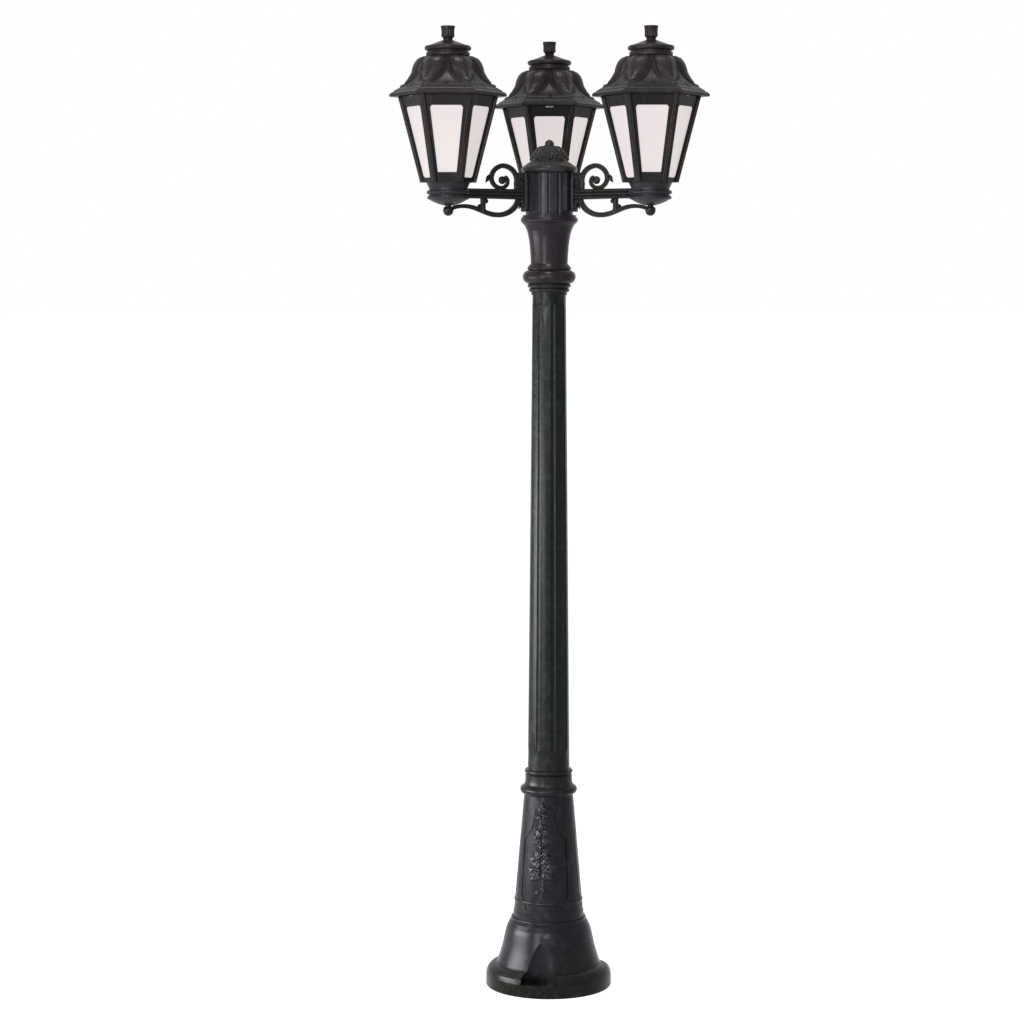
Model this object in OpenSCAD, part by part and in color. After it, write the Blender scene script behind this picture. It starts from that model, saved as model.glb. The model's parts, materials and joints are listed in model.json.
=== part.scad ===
// Garden lamp post with three hexagonal lanterns on scroll arms.
// Millimetres, +Z up, origin on the floor at the centre of the foot's bolt circle.
// One arm points to +Y and the other two stand 120 degrees to either side of it.

/* [Foot and pedestal] */
// Radius of the foot flange
flange_r = 127; // [120:1:150]
// Height of the flange side
flange_h = 21; // [18:1:34]
// Radius of the bell where it stands on the flange
bell_r = 104; // [100:1:110]
// Height of the bell's foot above the floor
bell_z = 49; // [44:1:58]
// Height of the bell's top above the floor
bell_top = 141; // [130:1:160]
// How far the bell's side swells outwards
bell_swell = 5; // [0:0.2:6]
// Radius of the pedestal where it leaves the bell
pedestal_r = 71; // [68:1:80]
// Radius of the pedestal's top
pedestal_top_r = 48.8; // [46:0.2:54]
// Height of the pedestal above the floor
pedestal_h = 399; // [360:1:440]
// Thickness of the foot's moulded wall
foot_wall = 6; // [4:0.5:9]
// Number of anchor bolts, each in its own niche
anchors = 3; // [3:1:4]
// Radius of the anchor bolt circle
anchor_circle_r = 103; // [98:1:108]
// Radius of an anchor bolt hole
anchor_r = 6; // [4:0.5:8]
// Radius of a niche cut in the bell
niche_r = 38; // [30:1:40]
// Distance from the post axis to the centre of a niche
niche_reach = 127; // [120:1:132]
// Height of a niche's floor
niche_z = 26; // [22:1:36]
// Turn of the foot's first niche and panel from the front
foot_turn = -9; // [-30:1:30]
// Number of panels around the pedestal
panels = 3; // [3:1:4]
// Depth of the line cut round a panel
line_depth = 1.4; // [0.6:0.1:2.5]
// Width of the line cut round a panel
line_w = 3; // [1.5:0.5:5]

/* [Shaft and collar] */
// Height of the collar between pedestal and shaft
collar_h = 55; // [45:1:70]
// Radius of the collar's lower bead
collar_bead_r = 57; // [54:0.5:62]
// Length of the shaft above the pedestal
shaft_l = 998; // [700:1:1400]
// Radius of the shaft above the collar
shaft_r = 41.9; // [40:0.1:46]
// Radius of the shaft's top
shaft_top_r = 33.3; // [32:0.1:36]
// Radius of the shaft's plain end inside the collar
shaft_end_r = 40; // [36:0.5:40]
// Number of flutes
flutes = 8; // [6:1:12]
// Radius of the round cutter that makes a flute
flute_r = 6; // [4:0.5:8]
// Depth of a flute
flute_depth = 2.4; // [1:0.1:3]
// Plain length of shaft below the flutes, from the collar's top
flute_start = 32; // [15:1:80]
// Plain length of shaft above the flutes
flute_end = 21; // [15:1:80]
// Turn of the first flute from the front
flute_turn = 13.4; // [0:0.2:45]
// Radius of the steel tube inside the post
tube_r = 24.15; // [20:0.05:26]
// Wall of the steel tube
tube_wall = 3; // [2:0.5:5]
// Height of the tube's lower end above the floor
tube_z = 6; // [4:1:20]

/* [Capital and hub] */
// Height of the capital
capital_h = 158; // [150:1:180]
// Radius of the capital's large bead
capital_bead_r = 52.8; // [50:0.2:58]
// Radius of the vase neck at its foot
vase_r = 36.9; // [36:0.1:40]
// Radius of the ring on top of the capital
capital_top_r = 57; // [54:0.5:62]
// Height of the hub drum
hub_h = 82; // [78:1:100]
// Radius of the hub drum over its ribs
hub_r = 47; // [46:0.5:52]
// Thickness of the hub drum's floor
hub_floor = 6; // [4:0.5:8]
// Distance from the post axis to a pad's face
pad_reach = 52; // [50:0.5:56]
// Half width of a pad
pad_half_w = 20; // [17:0.5:22]
// Distance from the post axis to the flat inside behind a pad
pad_inside = 36; // [33:0.5:37]
// Radius of the hub's inside
hub_inside_r = 40; // [38:0.5:42]
// Number of grooves between two pads
hub_grooves = 3; // [1:1:3]
// Angle between two grooves
groove_step = 24; // [18:1:26]
// Radius of the ring round the hub cap
cap_ring_r = 55.8; // [54:0.2:60]
// Height of the hub cap from the drum to the top of the bud
cap_h = 67; // [60:1:80]
// Wall of the hub cap
cap_wall = 3.5; // [2.5:0.5:5]
// Radius of the bud on the hub cap
bud_r = 8.6; // [7:0.2:10]
// Number of leaves on the hub cap's dome
cap_leaves = 8; // [6:1:12]
// Radius of the furrow between two leaves
furrow_r = 5; // [3:0.5:8]
// Length of the hub cap's skirt inside the drum
skirt_h = 12; // [6:1:20]

/* [Arms] */
// Distance from the post axis to a lantern's axis
arm_reach = 227; // [215:1:260]
// Height of the bar's middle above the hub's floor level
bar_rise = 40; // [38:1:46]
// Height of the bar's section
bar_h = 20; // [16:1:22]
// Width of the bar between its side ribs
bar_w = 12; // [8:0.5:16]
// Thickness of the bracket plate
plate_t = 9; // [6:0.5:12]
// Half width of the bracket plate
plate_half_w = 12; // [10:0.5:16]
// Distance from the post axis to the upper scroll's eye
eye_reach = 107; // [102:0.5:112]
// Height of the upper scroll's eye above the bar's middle
eye_rise = 27; // [25:0.5:28]
// Radius of the upper scroll at its crown
scroll_r = 28.4; // [26:0.2:30]
// What is left of the upper scroll's radius after each quarter turn
scroll_ratio = 0.72; // [0.68:0.01:0.76]
// Share by which the scrolls are wider than high
scroll_stretch = 1.155; // [1.05:0.005:1.2]
// Half thickness of the upper scroll's band at its crown
band_half = 5.4; // [4:0.1:6]
// Distance from the post axis to the lower scroll's middle
belly_reach = 116.3; // [112:0.1:122]
// Radius of the lower scroll at its lowest point
belly_r = 40.9; // [38:0.1:43]
// Half thickness of the lower scroll's band
belly_half = 6; // [5:0.1:7]
// Radius of the ball in the upper scroll's eye
eye_ball_r = 8; // [6:0.5:9]
// Radius of the ball under the lantern
ball_r = 9.4; // [8:0.1:11]
// Drop of the ball's centre below the bar's middle
ball_drop = 35; // [34:0.5:38]
// Radius of the bar's threaded end inside the hub
spigot_r = 8; // [6:0.5:9]
// Radius of the wire way through the bar
wire_r = 4.5; // [3:0.1:4.8]

/* [Lantern body] */
// Drop of the bowl's underside below the bar's middle
bowl_drop = 24; // [24:0.5:25]
// Height of the bowl
bowl_h = 44; // [43:0.5:48]
// Radius of the bowl's torus rings
bowl_ring_r = 41; // [40:0.2:44]
// Wall of the bowl
bowl_wall = 4; // [3:0.5:5]
// Corner radius of the cage at its foot
cage_r = 52; // [51:0.5:56]
// Corner radius of the cage at its top
cage_top_r = 94.5; // [88:0.5:98]
// Height of the cage
cage_h = 165; // [160:1:200]
// Thickness of the cage's wall
cage_wall = 3; // [2:0.5:4]
// Thickness of the cage's floor
cage_floor = 4; // [3:0.5:6]
// Width of a corner post
post_w = 13; // [10:0.5:15]
// How far a corner post stands out from the cage
post_out = 2.6; // [1.5:0.1:4]
// Depth of the grooves along a corner post
ridge_depth = 0.9; // [0.4:0.1:1.4]
// Depth of the recess under a window and of the line over it
recess_depth = 0.8; // [0.4:0.1:1.2]
// Height of a window's sill above the cage's foot
sill_h = 22; // [16:1:30]
// Height of the rail above a window
rail_h = 15; // [10:1:24]
// Width of a window at its sill
window_w = 40; // [34:1:42]
// Width of a window at its head
window_top_w = 66; // [58:1:68]
// Size of a window's cut corners
window_cut = 8; // [2:0.5:10]
// Wall of the opal sleeve
opal_t = 2; // [1.5:0.25:3]

/* [Lantern roof] */
// Corner radius of the roof at its eave
eave_r = 114; // [108:0.5:120]
// Height of the eave's lip
lip_h = 5; // [3:0.5:8]
// Height of the roof up to its neck ring
roof_h = 77; // [70:0.5:90]
// Wall of the roof
roof_wall = 3.5; // [2.5:0.25:5]
// How far a tongue stands out from the roof
tongue_out = 1.8; // [0.8:0.1:3]
// How far the band over the eave stands out
band_out = 0.8; // [0.4:0.1:1.5]
// Distance of a tongue's groove from its edge
groove_in = 3.4; // [2.5:0.1:5]
// Width of a tongue's groove
groove_w = 1.4; // [1:0.1:2]
// Angle from a tongue's middle to its side
tongue_angle = 22.5; // [18:0.5:26]
// Radius of the neck ring
neck_ring_r = 42.5; // [40:0.5:44]
// Height of the neck ring
neck_ring_h = 11; // [8:0.5:14]
// Radius of the disc cap
disc_r = 45.4; // [44:0.2:50]
// Height of the disc cap
disc_h = 21; // [18:0.5:28]
// Radius of the finial's cup
finial_r = 13.5; // [12:0.1:16]
// Height of the finial
finial_h = 31; // [28:0.5:40]
// Number of ribs round the finial's cup
finial_ribs = 10; // [8:1:16]
// Radius of the roof stud
stud_r = 3; // [2.5:0.25:3.5]
// Width of the roof bridge
bridge_w = 16; // [14:1:20]
// Thickness of the roof bridge
bridge_t = 2; // [1.5:0.25:2.5]

/* [Lamp] */
// Radius of the lampholder's base
holder_r = 20; // [18:0.5:22]
// Height of the lampholder
holder_h = 46; // [42:1:54]
// Radius of the lamp's screw cap
cap_thread_r = 13; // [12.8:0.1:13.1]
// Length of the lamp's screw cap
cap_thread_h = 26; // [24:1:28]
// Radius of the lamp's glass
glass_r = 30; // [26:0.5:31]
// Length of the lamp with its cap
lamp_l = 108; // [104:1:112]

/* [Fits] */
// Gap between pieces that are seated on each other or pushed together
seat = 0.3; // [0.2:0.05:0.5]
// Gap round a pin or stud in its hole
fit = 0.2; // [0.1:0.05:0.3]
// Gap round the finial's thread
thread_gap = 0.05; // [0.02:0.01:0.1]

/* [Hidden] */
$fn = 64;
charcoal = "#2b2b2e";
lamps = 3;
turn = 360 / lamps;
front = 270;
first_arm = 210;
function arm_angle(k) = first_arm + turn * k;

// Heights up the post
collar_top = pedestal_h + collar_h;
shaft_top = pedestal_h + shaft_l;
hub_z = shaft_top + capital_h;
hub_top = hub_z + hub_h;
bar_z = hub_z + bar_rise;

// Heights up a lantern
bowl_z = bar_z - bowl_drop;
cage_z = bowl_z + bowl_h;
cage_top = cage_z + cage_h;
roof_z = cage_top + seat;
neck_z = roof_z + roof_h;
disc_z = neck_z + neck_ring_h;
finial_z = disc_z + disc_h + seat;
holder_z = cage_z + cage_floor;

// The cage's slopes: its faces lean out by lean, its corners by corner_lean
hex = cos(30);
face_run = (cage_top_r - cage_r) * hex;
lean = atan(face_run / cage_h);
slant = cage_h / cos(lean);
corner_lean = atan((cage_top_r - cage_r) / cage_h);
function cage_r_at(z) = cage_r + (cage_top_r - cage_r) * z / cage_h;

function lerp(a, b, t) = a + (b - a) * t;
// Quadratic and cubic Bezier curves through plane points
function bend2(a, b, c, t) = (1 - t) * (1 - t) * a + 2 * t * (1 - t) * b + t * t * c;
function bend3(a, b, c, d, t) = (1 - t) * bend2(a, b, c, t) + t * bend2(b, c, d, t);

// A ring with a round edge: major radius to the outside, at height z
module bead(r, z, half_h) {
    translate([r - half_h, z]) circle(r = half_h);
}

// Lays a plane drawing out so that its x runs along +Y, its y up and its depth along +X
module facing_x(depth) {
    rotate([90, 0, 90]) linear_extrude(depth) children();
}

module at_lantern(k) {
    rotate([0, 0, arm_angle(k)]) translate([arm_reach, 0, 0]) children();
}

// Foot and pedestal

// Shoulder between the flange's side and the bell: a quarter of an ellipse
shoulder_r = bell_r + 2;
shoulder_z = bell_z - 3;
function shoulder(steps = 8) = [for (i = [0 : steps])
    [shoulder_r + (flange_r - shoulder_r) * cos(90 * i / steps),
     flange_h + (shoulder_z - flange_h) * sin(90 * i / steps)]];
// Side of the bell: a slope that swells most above its middle
function bell(inset = 0, steps = 10) = [for (i = [0 : steps]) let (t = i / steps)
    [lerp(bell_r, pedestal_r + 1.6, t) + bell_swell * sin(180 * pow(t, 2.6)) - inset,
     lerp(bell_z, bell_top, t)]];
function pedestal_r_at(z) =
    lerp(pedestal_r, pedestal_top_r, (z - bell_top) / (pedestal_h - bell_top));

socket_r = tube_r + 7;
step_z = bell_top + 14;
top_band = 8;

// Half outline of a pedestal panel, as [degrees from its middle, height]
panel_foot = bell_top + 22;
panel_sill = panel_foot + 30;
panel_shoulder = lerp(bell_top, pedestal_h, 0.644);
panel_head = pedestal_h - 34;
panel_half = 48;
panel_arch = 25;
function panel_half_line() = concat(
    [[panel_half - 16, panel_foot], [panel_half - 2, panel_sill], [panel_half, panel_shoulder]],
    [for (i = [0 : 6]) let (t = i / 6)
        bend2([panel_half, panel_shoulder], [panel_arch, panel_shoulder + 12],
              [panel_arch - 2, panel_head], t)],
    [[panel_arch - 12, panel_head + 8]]);
// The outline drawn flat, drawn in by inset all round
module panel_outline(inset) {
    side = [for (p = panel_half_line())
        [pedestal_r_at(p[1]) * sin(p[0]) * (1 - inset / pedestal_r_at(p[1])),
         lerp(panel_foot + inset, panel_head + 8 - inset,
              (p[1] - panel_foot) / (panel_head + 8 - panel_foot))]];
    polygon(concat(side, [for (i = [len(side) - 1 : -1 : 0]) [-side[i][0], side[i][1]]]));
}

module base_pedestal() {
    outline = concat([[0, 0], [flange_r - 2, 0], [flange_r, 2]], shoulder(), bell(), [
        [pedestal_r + 0.6, bell_top], [pedestal_r, step_z], [pedestal_r_at(step_z), step_z + 1],
        [pedestal_r_at(pedestal_h - top_band), pedestal_h - top_band],
        [pedestal_top_r + 1.2, pedestal_h - top_band + 1], [pedestal_top_r + 1.2, pedestal_h],
        [0, pedestal_h]]);
    inner_bell = bell(foot_wall + 1);
    last = len(inner_bell) - 2;
    color(charcoal) difference() {
        rotate_extrude($fn = 96) polygon(outline);
        // Hollow under the foot, with walls left round the tube, the niches and the bolts
        difference() {
            rotate_extrude($fn = 96) polygon(concat(
                [[socket_r, -1], [flange_r - foot_wall, -1],
                 [flange_r - foot_wall, flange_h - foot_wall - 2],
                 [bell_r - foot_wall, shoulder_z - foot_wall]],
                [for (i = [1 : last]) inner_bell[i]],
                [[socket_r, inner_bell[last][1]]]));
            for (k = [0 : anchors - 1]) rotate([0, 0, front + foot_turn + 360 / anchors * k]) {
                translate([niche_reach, 0, niche_z - foot_wall])
                    cylinder(r = niche_r + foot_wall, h = bell_top);
                translate([anchor_circle_r, 0, -2]) cylinder(r = anchor_r + 6, h = niche_z);
                rotate([0, 0, 180 / anchors]) translate([0, -2, 0]) cube([flange_r, 4, bell_top]);
            }
        }
        for (k = [0 : anchors - 1]) rotate([0, 0, front + foot_turn + 360 / anchors * k]) {
            translate([niche_reach, 0, niche_z]) cylinder(r = niche_r, h = bell_top);
            translate([anchor_circle_r, 0, -1]) cylinder(r = anchor_r, h = niche_z + 2);
            translate([anchor_circle_r, 0, niche_z - 1.5]) cylinder(r = anchor_r * 2, h = 3);
        }
        // Seat for the tube and the cable's way in below it
        translate([0, 0, tube_z - seat]) cylinder(r = tube_r + seat, h = pedestal_h);
        translate([0, 0, -1]) cylinder(r = tube_r - tube_wall, h = tube_z + 2);
        // Lines cut round the panels
        for (k = [0 : panels - 1]) rotate([0, 0, front + foot_turn + 360 / panels * k]) intersection() {
            rotate_extrude($fn = 96) polygon([
                [pedestal_r_at(step_z) - line_depth, step_z], [pedestal_r_at(step_z) + 9, step_z],
                [pedestal_top_r + 9, pedestal_h], [pedestal_top_r - line_depth, pedestal_h]]);
            translate([20, 0, 0]) facing_x(pedestal_r) difference() {
                panel_outline(0);
                panel_outline(line_w);
            }
        }
    }
}

module pedestal_collar() {
    waist_r = pedestal_top_r - 2.5;
    bead_z = pedestal_h + collar_h * 0.247;
    bead_half = collar_h * 0.155;
    top_half = 4;
    color(charcoal) rotate_extrude($fn = 96) difference() {
        union() {
            translate([0, pedestal_h]) square([pedestal_top_r + 1, collar_h * 0.2]);
            translate([0, bead_z - bead_half]) square([collar_bead_r - bead_half, bead_half * 2]);
            bead(collar_bead_r, bead_z, bead_half);
            translate([0, pedestal_h]) square([waist_r, collar_h]);
            translate([0, bead_z + bead_half - 3]) square([waist_r + 4, 5]);
            bead(waist_r + 1.3, collar_top - top_half, top_half);
        }
        translate([0, pedestal_h - 1]) square([shaft_end_r + seat, collar_h + 2]);
    }
}

// Shaft

flute_z = collar_top + flute_start;
flute_top = shaft_top - flute_end;
function shaft_r_at(z) = lerp(shaft_r, shaft_top_r, (z - collar_top) / (shaft_top - collar_top));
taper = atan((shaft_r - shaft_top_r) / (shaft_top - collar_top));

module flute_cutter() {
    length = (flute_top - flute_z) / cos(taper);
    translate([shaft_r_at(flute_z) + flute_r - flute_depth, 0, flute_z]) rotate([0, -taper, 0]) {
        sphere(r = flute_r);
        cylinder(r = flute_r, h = length);
        translate([0, 0, length]) sphere(r = flute_r);
    }
}

module pole_shaft() {
    color(charcoal) difference() {
        rotate_extrude($fn = 96) polygon([
            [tube_r + seat, pedestal_h], [shaft_end_r, pedestal_h], [shaft_end_r, collar_top],
            [shaft_r, collar_top], [shaft_top_r, shaft_top], [tube_r + seat, shaft_top]]);
        for (k = [0 : flutes - 1])
            rotate([0, 0, front + flute_turn + 360 / flutes * k]) flute_cutter();
    }
}

module core_tube() {
    color("#9a9ea1") translate([0, 0, tube_z]) difference() {
        cylinder(r = tube_r, h = hub_z - seat - tube_z);
        translate([0, 0, -1]) cylinder(r = tube_r - tube_wall, h = hub_z);
    }
}

// Capital and hub

sleeve_r = tube_r + seat + 5;
sleeve_h = 38;
module neck_capital() {
    vase_z = shaft_top + capital_h * 0.418;
    flare_z = hub_z - 16;
    color(charcoal) rotate_extrude($fn = 96) difference() {
        union() {
            translate([0, shaft_top]) square([shaft_top_r + 2.5, 20]);
            translate([0, shaft_top + 6]) square([shaft_top_r + 5.5, 8]);
            bead(shaft_top_r + 7.3, shaft_top + 10, 4.4);
            translate([0, shaft_top + 14.5]) square([shaft_top_r + 8.2, 9]);
            bead(shaft_top_r + 9.9, shaft_top + 18.6, 4);
            translate([0, shaft_top + 22]) square([capital_bead_r - 13.6, 28]);
            bead(capital_bead_r, shaft_top + 36, 13.6);
            translate([0, shaft_top + 48.5]) square([vase_r + 5, 8.5]);
            bead(vase_r + 6.6, shaft_top + 52.7, 4);
            polygon([[0, shaft_top + 55], [vase_r + 4.6, shaft_top + 56.5],
                [vase_r + 1.2, shaft_top + 61], [0, shaft_top + 61]]);
            polygon(concat(
                [[0, shaft_top + 58], [vase_r, shaft_top + 58], [vase_r, vase_z]],
                [for (i = [0 : 8]) bend3([vase_r, vase_z], [vase_r + 2, lerp(vase_z, flare_z, 0.6)],
                    [vase_r + 6, flare_z - 8], [capital_top_r - 3.5, flare_z], i / 8)],
                [[0, flare_z]]));
            translate([0, flare_z]) square([capital_top_r - 4, 16]);
            bead(capital_top_r, flare_z + 6, 6);
            translate([0, flare_z + 6]) square([capital_top_r - 1.5, 6]);
        }
        translate([0, shaft_top - 1]) square([tube_r + seat, capital_h + 2]);
        translate([0, hub_z - sleeve_h - seat]) square([sleeve_r + seat, sleeve_h + 2]);
    }
}

// Height of the pads' foot above the drum's underside
pad_z = 8;
module hub_drum() {
    color(charcoal) difference() {
        union() {
            translate([0, 0, hub_z]) cylinder(r = hub_r, h = hub_h, $fn = 96);
            translate([0, 0, hub_z - sleeve_h]) cylinder(r = sleeve_r, h = sleeve_h + 1);
            for (k = [0 : lamps - 1]) rotate([0, 0, arm_angle(k)])
                translate([0, -pad_half_w, hub_z + pad_z]) cube([pad_reach, 2 * pad_half_w, hub_h - pad_z]);
        }
        translate([0, 0, hub_z - sleeve_h - 1]) cylinder(r = tube_r + seat, h = sleeve_h + 1);
        translate([0, 0, hub_z - 1]) cylinder(r = tube_r - tube_wall - 2, h = hub_h);
        // Inside of the drum: round, with a flat behind each pad for the arm's nut
        intersection() {
            translate([0, 0, hub_z + hub_floor]) cylinder(r = hub_inside_r, h = hub_h);
            linear_extrude(hub_top + 1) polygon([for (i = [0 : lamps - 1])
                2 * pad_inside * [cos(arm_angle(i) + turn / 2), sin(arm_angle(i) + turn / 2)]]);
        }
        translate([0, 0, hub_top - skirt_h - 2]) cylinder(r = hub_inside_r, h = skirt_h + 3);
        for (k = [0 : lamps - 1]) rotate([0, 0, arm_angle(k)]) {
            translate([pad_inside - 20, 0, bar_z]) rotate([0, 90, 0]) cylinder(r = spigot_r + fit, h = 60);
            for (i = [0 : hub_grooves - 1])
                rotate([0, 0, turn / 2 + groove_step * (i - (hub_grooves - 1) / 2)])
                    translate([hub_r + 2, 0, hub_z - 1]) cylinder(r = 4.6, h = hub_h + 2, $fn = 32);
        }
    }
}

module hub_cap() {
    ring_half = 5.5;
    shoulder_up = 23;
    dome_up = cap_h - bud_r - 5;
    furrow_lean = 32;
    z0 = hub_top + seat;
    dome = [for (i = [0 : 8])
        bend3([37.5, shoulder_up], [35.5, shoulder_up + 13], [24, shoulder_up + 23], [11, dome_up], i / 8)];
    color(charcoal) difference() {
        union() {
            translate([0, 0, z0]) rotate_extrude($fn = 96) {
                bead(cap_ring_r, ring_half + 1, ring_half);
                square([cap_ring_r - ring_half, 2 * ring_half + 1]);
            }
            translate([0, 0, z0]) rotate_extrude($fn = 96) polygon(concat(
                [[0, 9], [cap_ring_r - 5, 9], [cap_ring_r - 4.6, 12.4], [45.6, 17.4], [39.6, 21.8]],
                dome, [[0, dome_up]]));
            translate([0, 0, z0 + cap_h - bud_r]) sphere(r = bud_r);
            translate([0, 0, hub_top - skirt_h]) cylinder(r = hub_inside_r - seat, h = skirt_h + 4);
        }
        // Furrows between the leaves of the dome
        for (i = [0 : cap_leaves - 1]) rotate([0, 0, 360 / cap_leaves * (i + 0.5)])
            translate([36.7 + furrow_r, 0, z0 + shoulder_up + 1]) rotate([0, -furrow_lean, 0])
                cylinder(r = furrow_r, h = 36, $fn = 32);
        // Hollow from the skirt up into the dome
        translate([0, 0, hub_top - skirt_h - 1])
            cylinder(r = hub_inside_r - seat - cap_wall, h = skirt_h + 12);
        translate([0, 0, hub_top + 10]) cylinder(r1 = 34, r2 = 12, h = 38);
    }
}

block_w = 30;
block_d = 14;
block_h = 16;
poles = 3;
module terminal_block() {
    pitch = block_w / poles;
    color("#e8e6df") translate([-block_w / 2, -block_d - 16, hub_z + hub_floor]) difference() {
        cube([block_w, block_d, block_h]);
        for (i = [0 : poles - 1]) translate([pitch * (i + 0.5), 0, 0]) {
            translate([0, -1, block_h * 0.4]) rotate([-90, 0, 0]) cylinder(r = 2, h = block_d + 2);
            translate([0, block_d / 2, block_h - 4]) cylinder(r = 2.6, h = 5);
        }
        for (i = [1 : poles - 1]) translate([pitch * i - 0.6, -1, block_h * 0.7])
            cube([1.2, block_d + 2, block_h]);
    }
}

nut_t = 6;
module hex_nut(bore, across, t) {
    difference() {
        cylinder(r = across, h = t, $fn = 6);
        translate([0, 0, -1]) cylinder(r = bore, h = t + 2);
    }
}

module arm_nuts() {
    color("#b9b6ab") for (k = [0 : lamps - 1])
        rotate([0, 0, arm_angle(k)]) translate([pad_inside - nut_t - seat, 0, bar_z])
            rotate([0, 90, 0]) hex_nut(spigot_r + thread_gap, spigot_r + 5, nut_t);
}

// Arms

bowl_touch = bowl_ring_r + 1 + seat;
plate_x = pad_reach + seat;
plate_out = plate_x + plate_t;
crown_quarters = 1.15;
scroll_quarters = 4.6;
scroll_steps = 34;
function scroll_point(q) = let (
    r = scroll_r * (q < crown_quarters ? 1 : pow(scroll_ratio, q - crown_quarters)),
    a = 90 + 90 * (crown_quarters - q))
    [eye_reach + r * scroll_stretch * cos(a), bar_z + eye_rise + r * sin(a)];
function upper_path() = [for (i = [0 : scroll_steps]) scroll_point(scroll_quarters * i / scroll_steps)];
upper_half = [for (i = [0 : scroll_steps]) lerp(band_half, band_half * 0.6, max(0, i / scroll_steps - 0.2))];

// Lower scroll: most of an oval belly, then an S tail that runs out to the ball
belly_z = bar_z;
ball_z = bar_z - ball_drop;
belly_end = [belly_reach + 4, belly_z - belly_r];
tail_mid = [arm_reach - 39, ball_z + 10];
tail_end = [arm_reach - 5, ball_z + 3.5];
function lower_path() = concat(
    [for (i = [0 : 10]) let (a = lerp(196, 268, i / 10))
        [belly_reach + belly_r * scroll_stretch * cos(a), belly_z + belly_r * sin(a)]],
    [for (i = [1 : 10]) bend3(belly_end, belly_end + [22, 0], tail_mid - [25, 1], tail_mid, i / 10)],
    [for (i = [1 : 6]) bend3(tail_mid, tail_mid + [14, 0.6], tail_end + [-9, 5], tail_end, i / 6)]);
function taper_half(n) = [for (i = [0 : n]) lerp(belly_half, 4, pow(i / n, 1.5))];

// A closed tube along a path in the arm's own plane, its half thickness given point by point
sweep_sides = 8;
function heading(path, i) = let (
    d = path[min(i + 1, len(path) - 1)] - path[max(i - 1, 0)]) atan2(d[1], d[0]);
module sweep(path, half, depth) {
    n = sweep_sides;
    m = len(path);
    points = [for (i = [0 : m - 1], j = [0 : n - 1])
        let (a = heading(path, i), f = 360 * (j + 0.5) / n, w = half[i] / cos(180 / n),
             d = depth * half[i] / half[0])
        [path[i][0] - w * cos(f) * sin(a), d * sin(f) / cos(180 / n), path[i][1] + w * cos(f) * cos(a)]];
    walls = [for (i = [0 : m - 2], j = [0 : n - 1])
        [i * n + j, i * n + (j + 1) % n, (i + 1) * n + (j + 1) % n, (i + 1) * n + j]];
    caps = [[for (j = [n - 1 : -1 : 0]) j], [for (j = [0 : n - 1]) (m - 1) * n + j]];
    polyhedron(points, concat(walls, caps));
}

// A flat piece of the arm drawn in its own plane, x outwards and y up
module in_arm_plane(t) {
    translate([0, t / 2, 0]) rotate([90, 0, 0]) linear_extrude(t) children();
}

module bar_section() {
    square([bar_w, bar_h], center = true);
    for (s = [-1, 1], z = [-1, 0, 1])
        translate([s * bar_w / 2, z * bar_h / 3]) circle(r = bar_h / 7, $fn = 24);
}

module arm_bar() {
    difference() {
        union() {
            translate([plate_x + 2, 0, bar_z]) facing_x(arm_reach - bowl_touch - plate_x) bar_section();
            // Bracket plate against the hub's pad
            translate([plate_x, 0, hub_z + pad_z + 3]) facing_x(plate_t) {
                translate([-plate_half_w, 0]) square([2 * plate_half_w, hub_h - pad_z - 11]);
                circle(r = plate_half_w * 0.55, $fn = 24);
                translate([0, hub_h - pad_z - 13]) circle(r = plate_half_w * 0.8, $fn = 24);
            }
            // Web between plate, bar and upper scroll
            in_arm_plane(9) polygon([[plate_x + 2, bar_z], [plate_x + 2, bar_z + 42],
                [plate_out + 9, bar_z + 43], [plate_out + 19, bar_z + 22], [plate_out + 17, bar_z]]);
            translate([pad_inside - nut_t - seat - 4, 0, bar_z]) rotate([0, 90, 0])
                cylinder(r = spigot_r, h = plate_out - pad_inside + nut_t);
        }
        translate([arm_reach, 0, bar_z - bar_h]) cylinder(r = bowl_touch, h = 2 * bar_h);
        translate([0, 0, bar_z]) rotate([0, 90, 0]) cylinder(r = wire_r, h = arm_reach);
    }
}

module spout() {
    // Threaded end of the bar inside the bowl
    translate([0, 0, bar_z]) rotate([0, 90, 0]) difference() {
        translate([0, 0, arm_reach - bowl_touch - 6]) cylinder(r = wire_r + 1.6, h = 6 + bowl_wall + 5);
        cylinder(r = wire_r, h = arm_reach);
    }
}

module arm() {
    stub_x = belly_reach + 34.7;
    low = lower_path();
    arm_bar();
    spout();
    sweep(upper_path(), upper_half, band_half * 0.9);
    sweep(low, taper_half(len(low) - 1), belly_half * 0.9);
    // Spur on the upper scroll's outer side
    translate([eye_reach, 0, bar_z + eye_rise]) in_arm_plane(7)
        polygon([[31, 7], [36.6, 1], [37.6, -3.5], [33, -6.5], [27, -2]]);
    // Ball in the upper scroll's eye, flat at its sides
    translate([eye_reach, 0, bar_z + eye_rise]) intersection() {
        sphere(r = eye_ball_r);
        cube([2 * eye_ball_r, 1.4 * eye_ball_r, 2 * eye_ball_r], center = true);
    }
    // Stub from the bar to the lower scroll, with its leaf knots
    translate([stub_x, 0, bar_z - bar_h / 2 - 27]) rotate([0, 3, 0]) cylinder(r = 5.2, h = 30, $fn = 24);
    translate([stub_x - 6, 0, bar_z - bar_h / 2 - 4.6]) sphere(r = 6, $fn = 24);
    translate([stub_x + 6, 0, bar_z - bar_h / 2 - 14.5]) sphere(r = 4.6, $fn = 24);
    // Ball and the pin that carries the bowl
    translate([arm_reach, 0, ball_z]) sphere(r = ball_r);
    translate([arm_reach, 0, ball_z]) cylinder(r = 6, h = bowl_z - seat - ball_z);
    translate([arm_reach, 0, ball_z]) cylinder(r = pin_r, h = bowl_z + bowl_wall + nut_t + 2 - ball_z);
}
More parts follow.
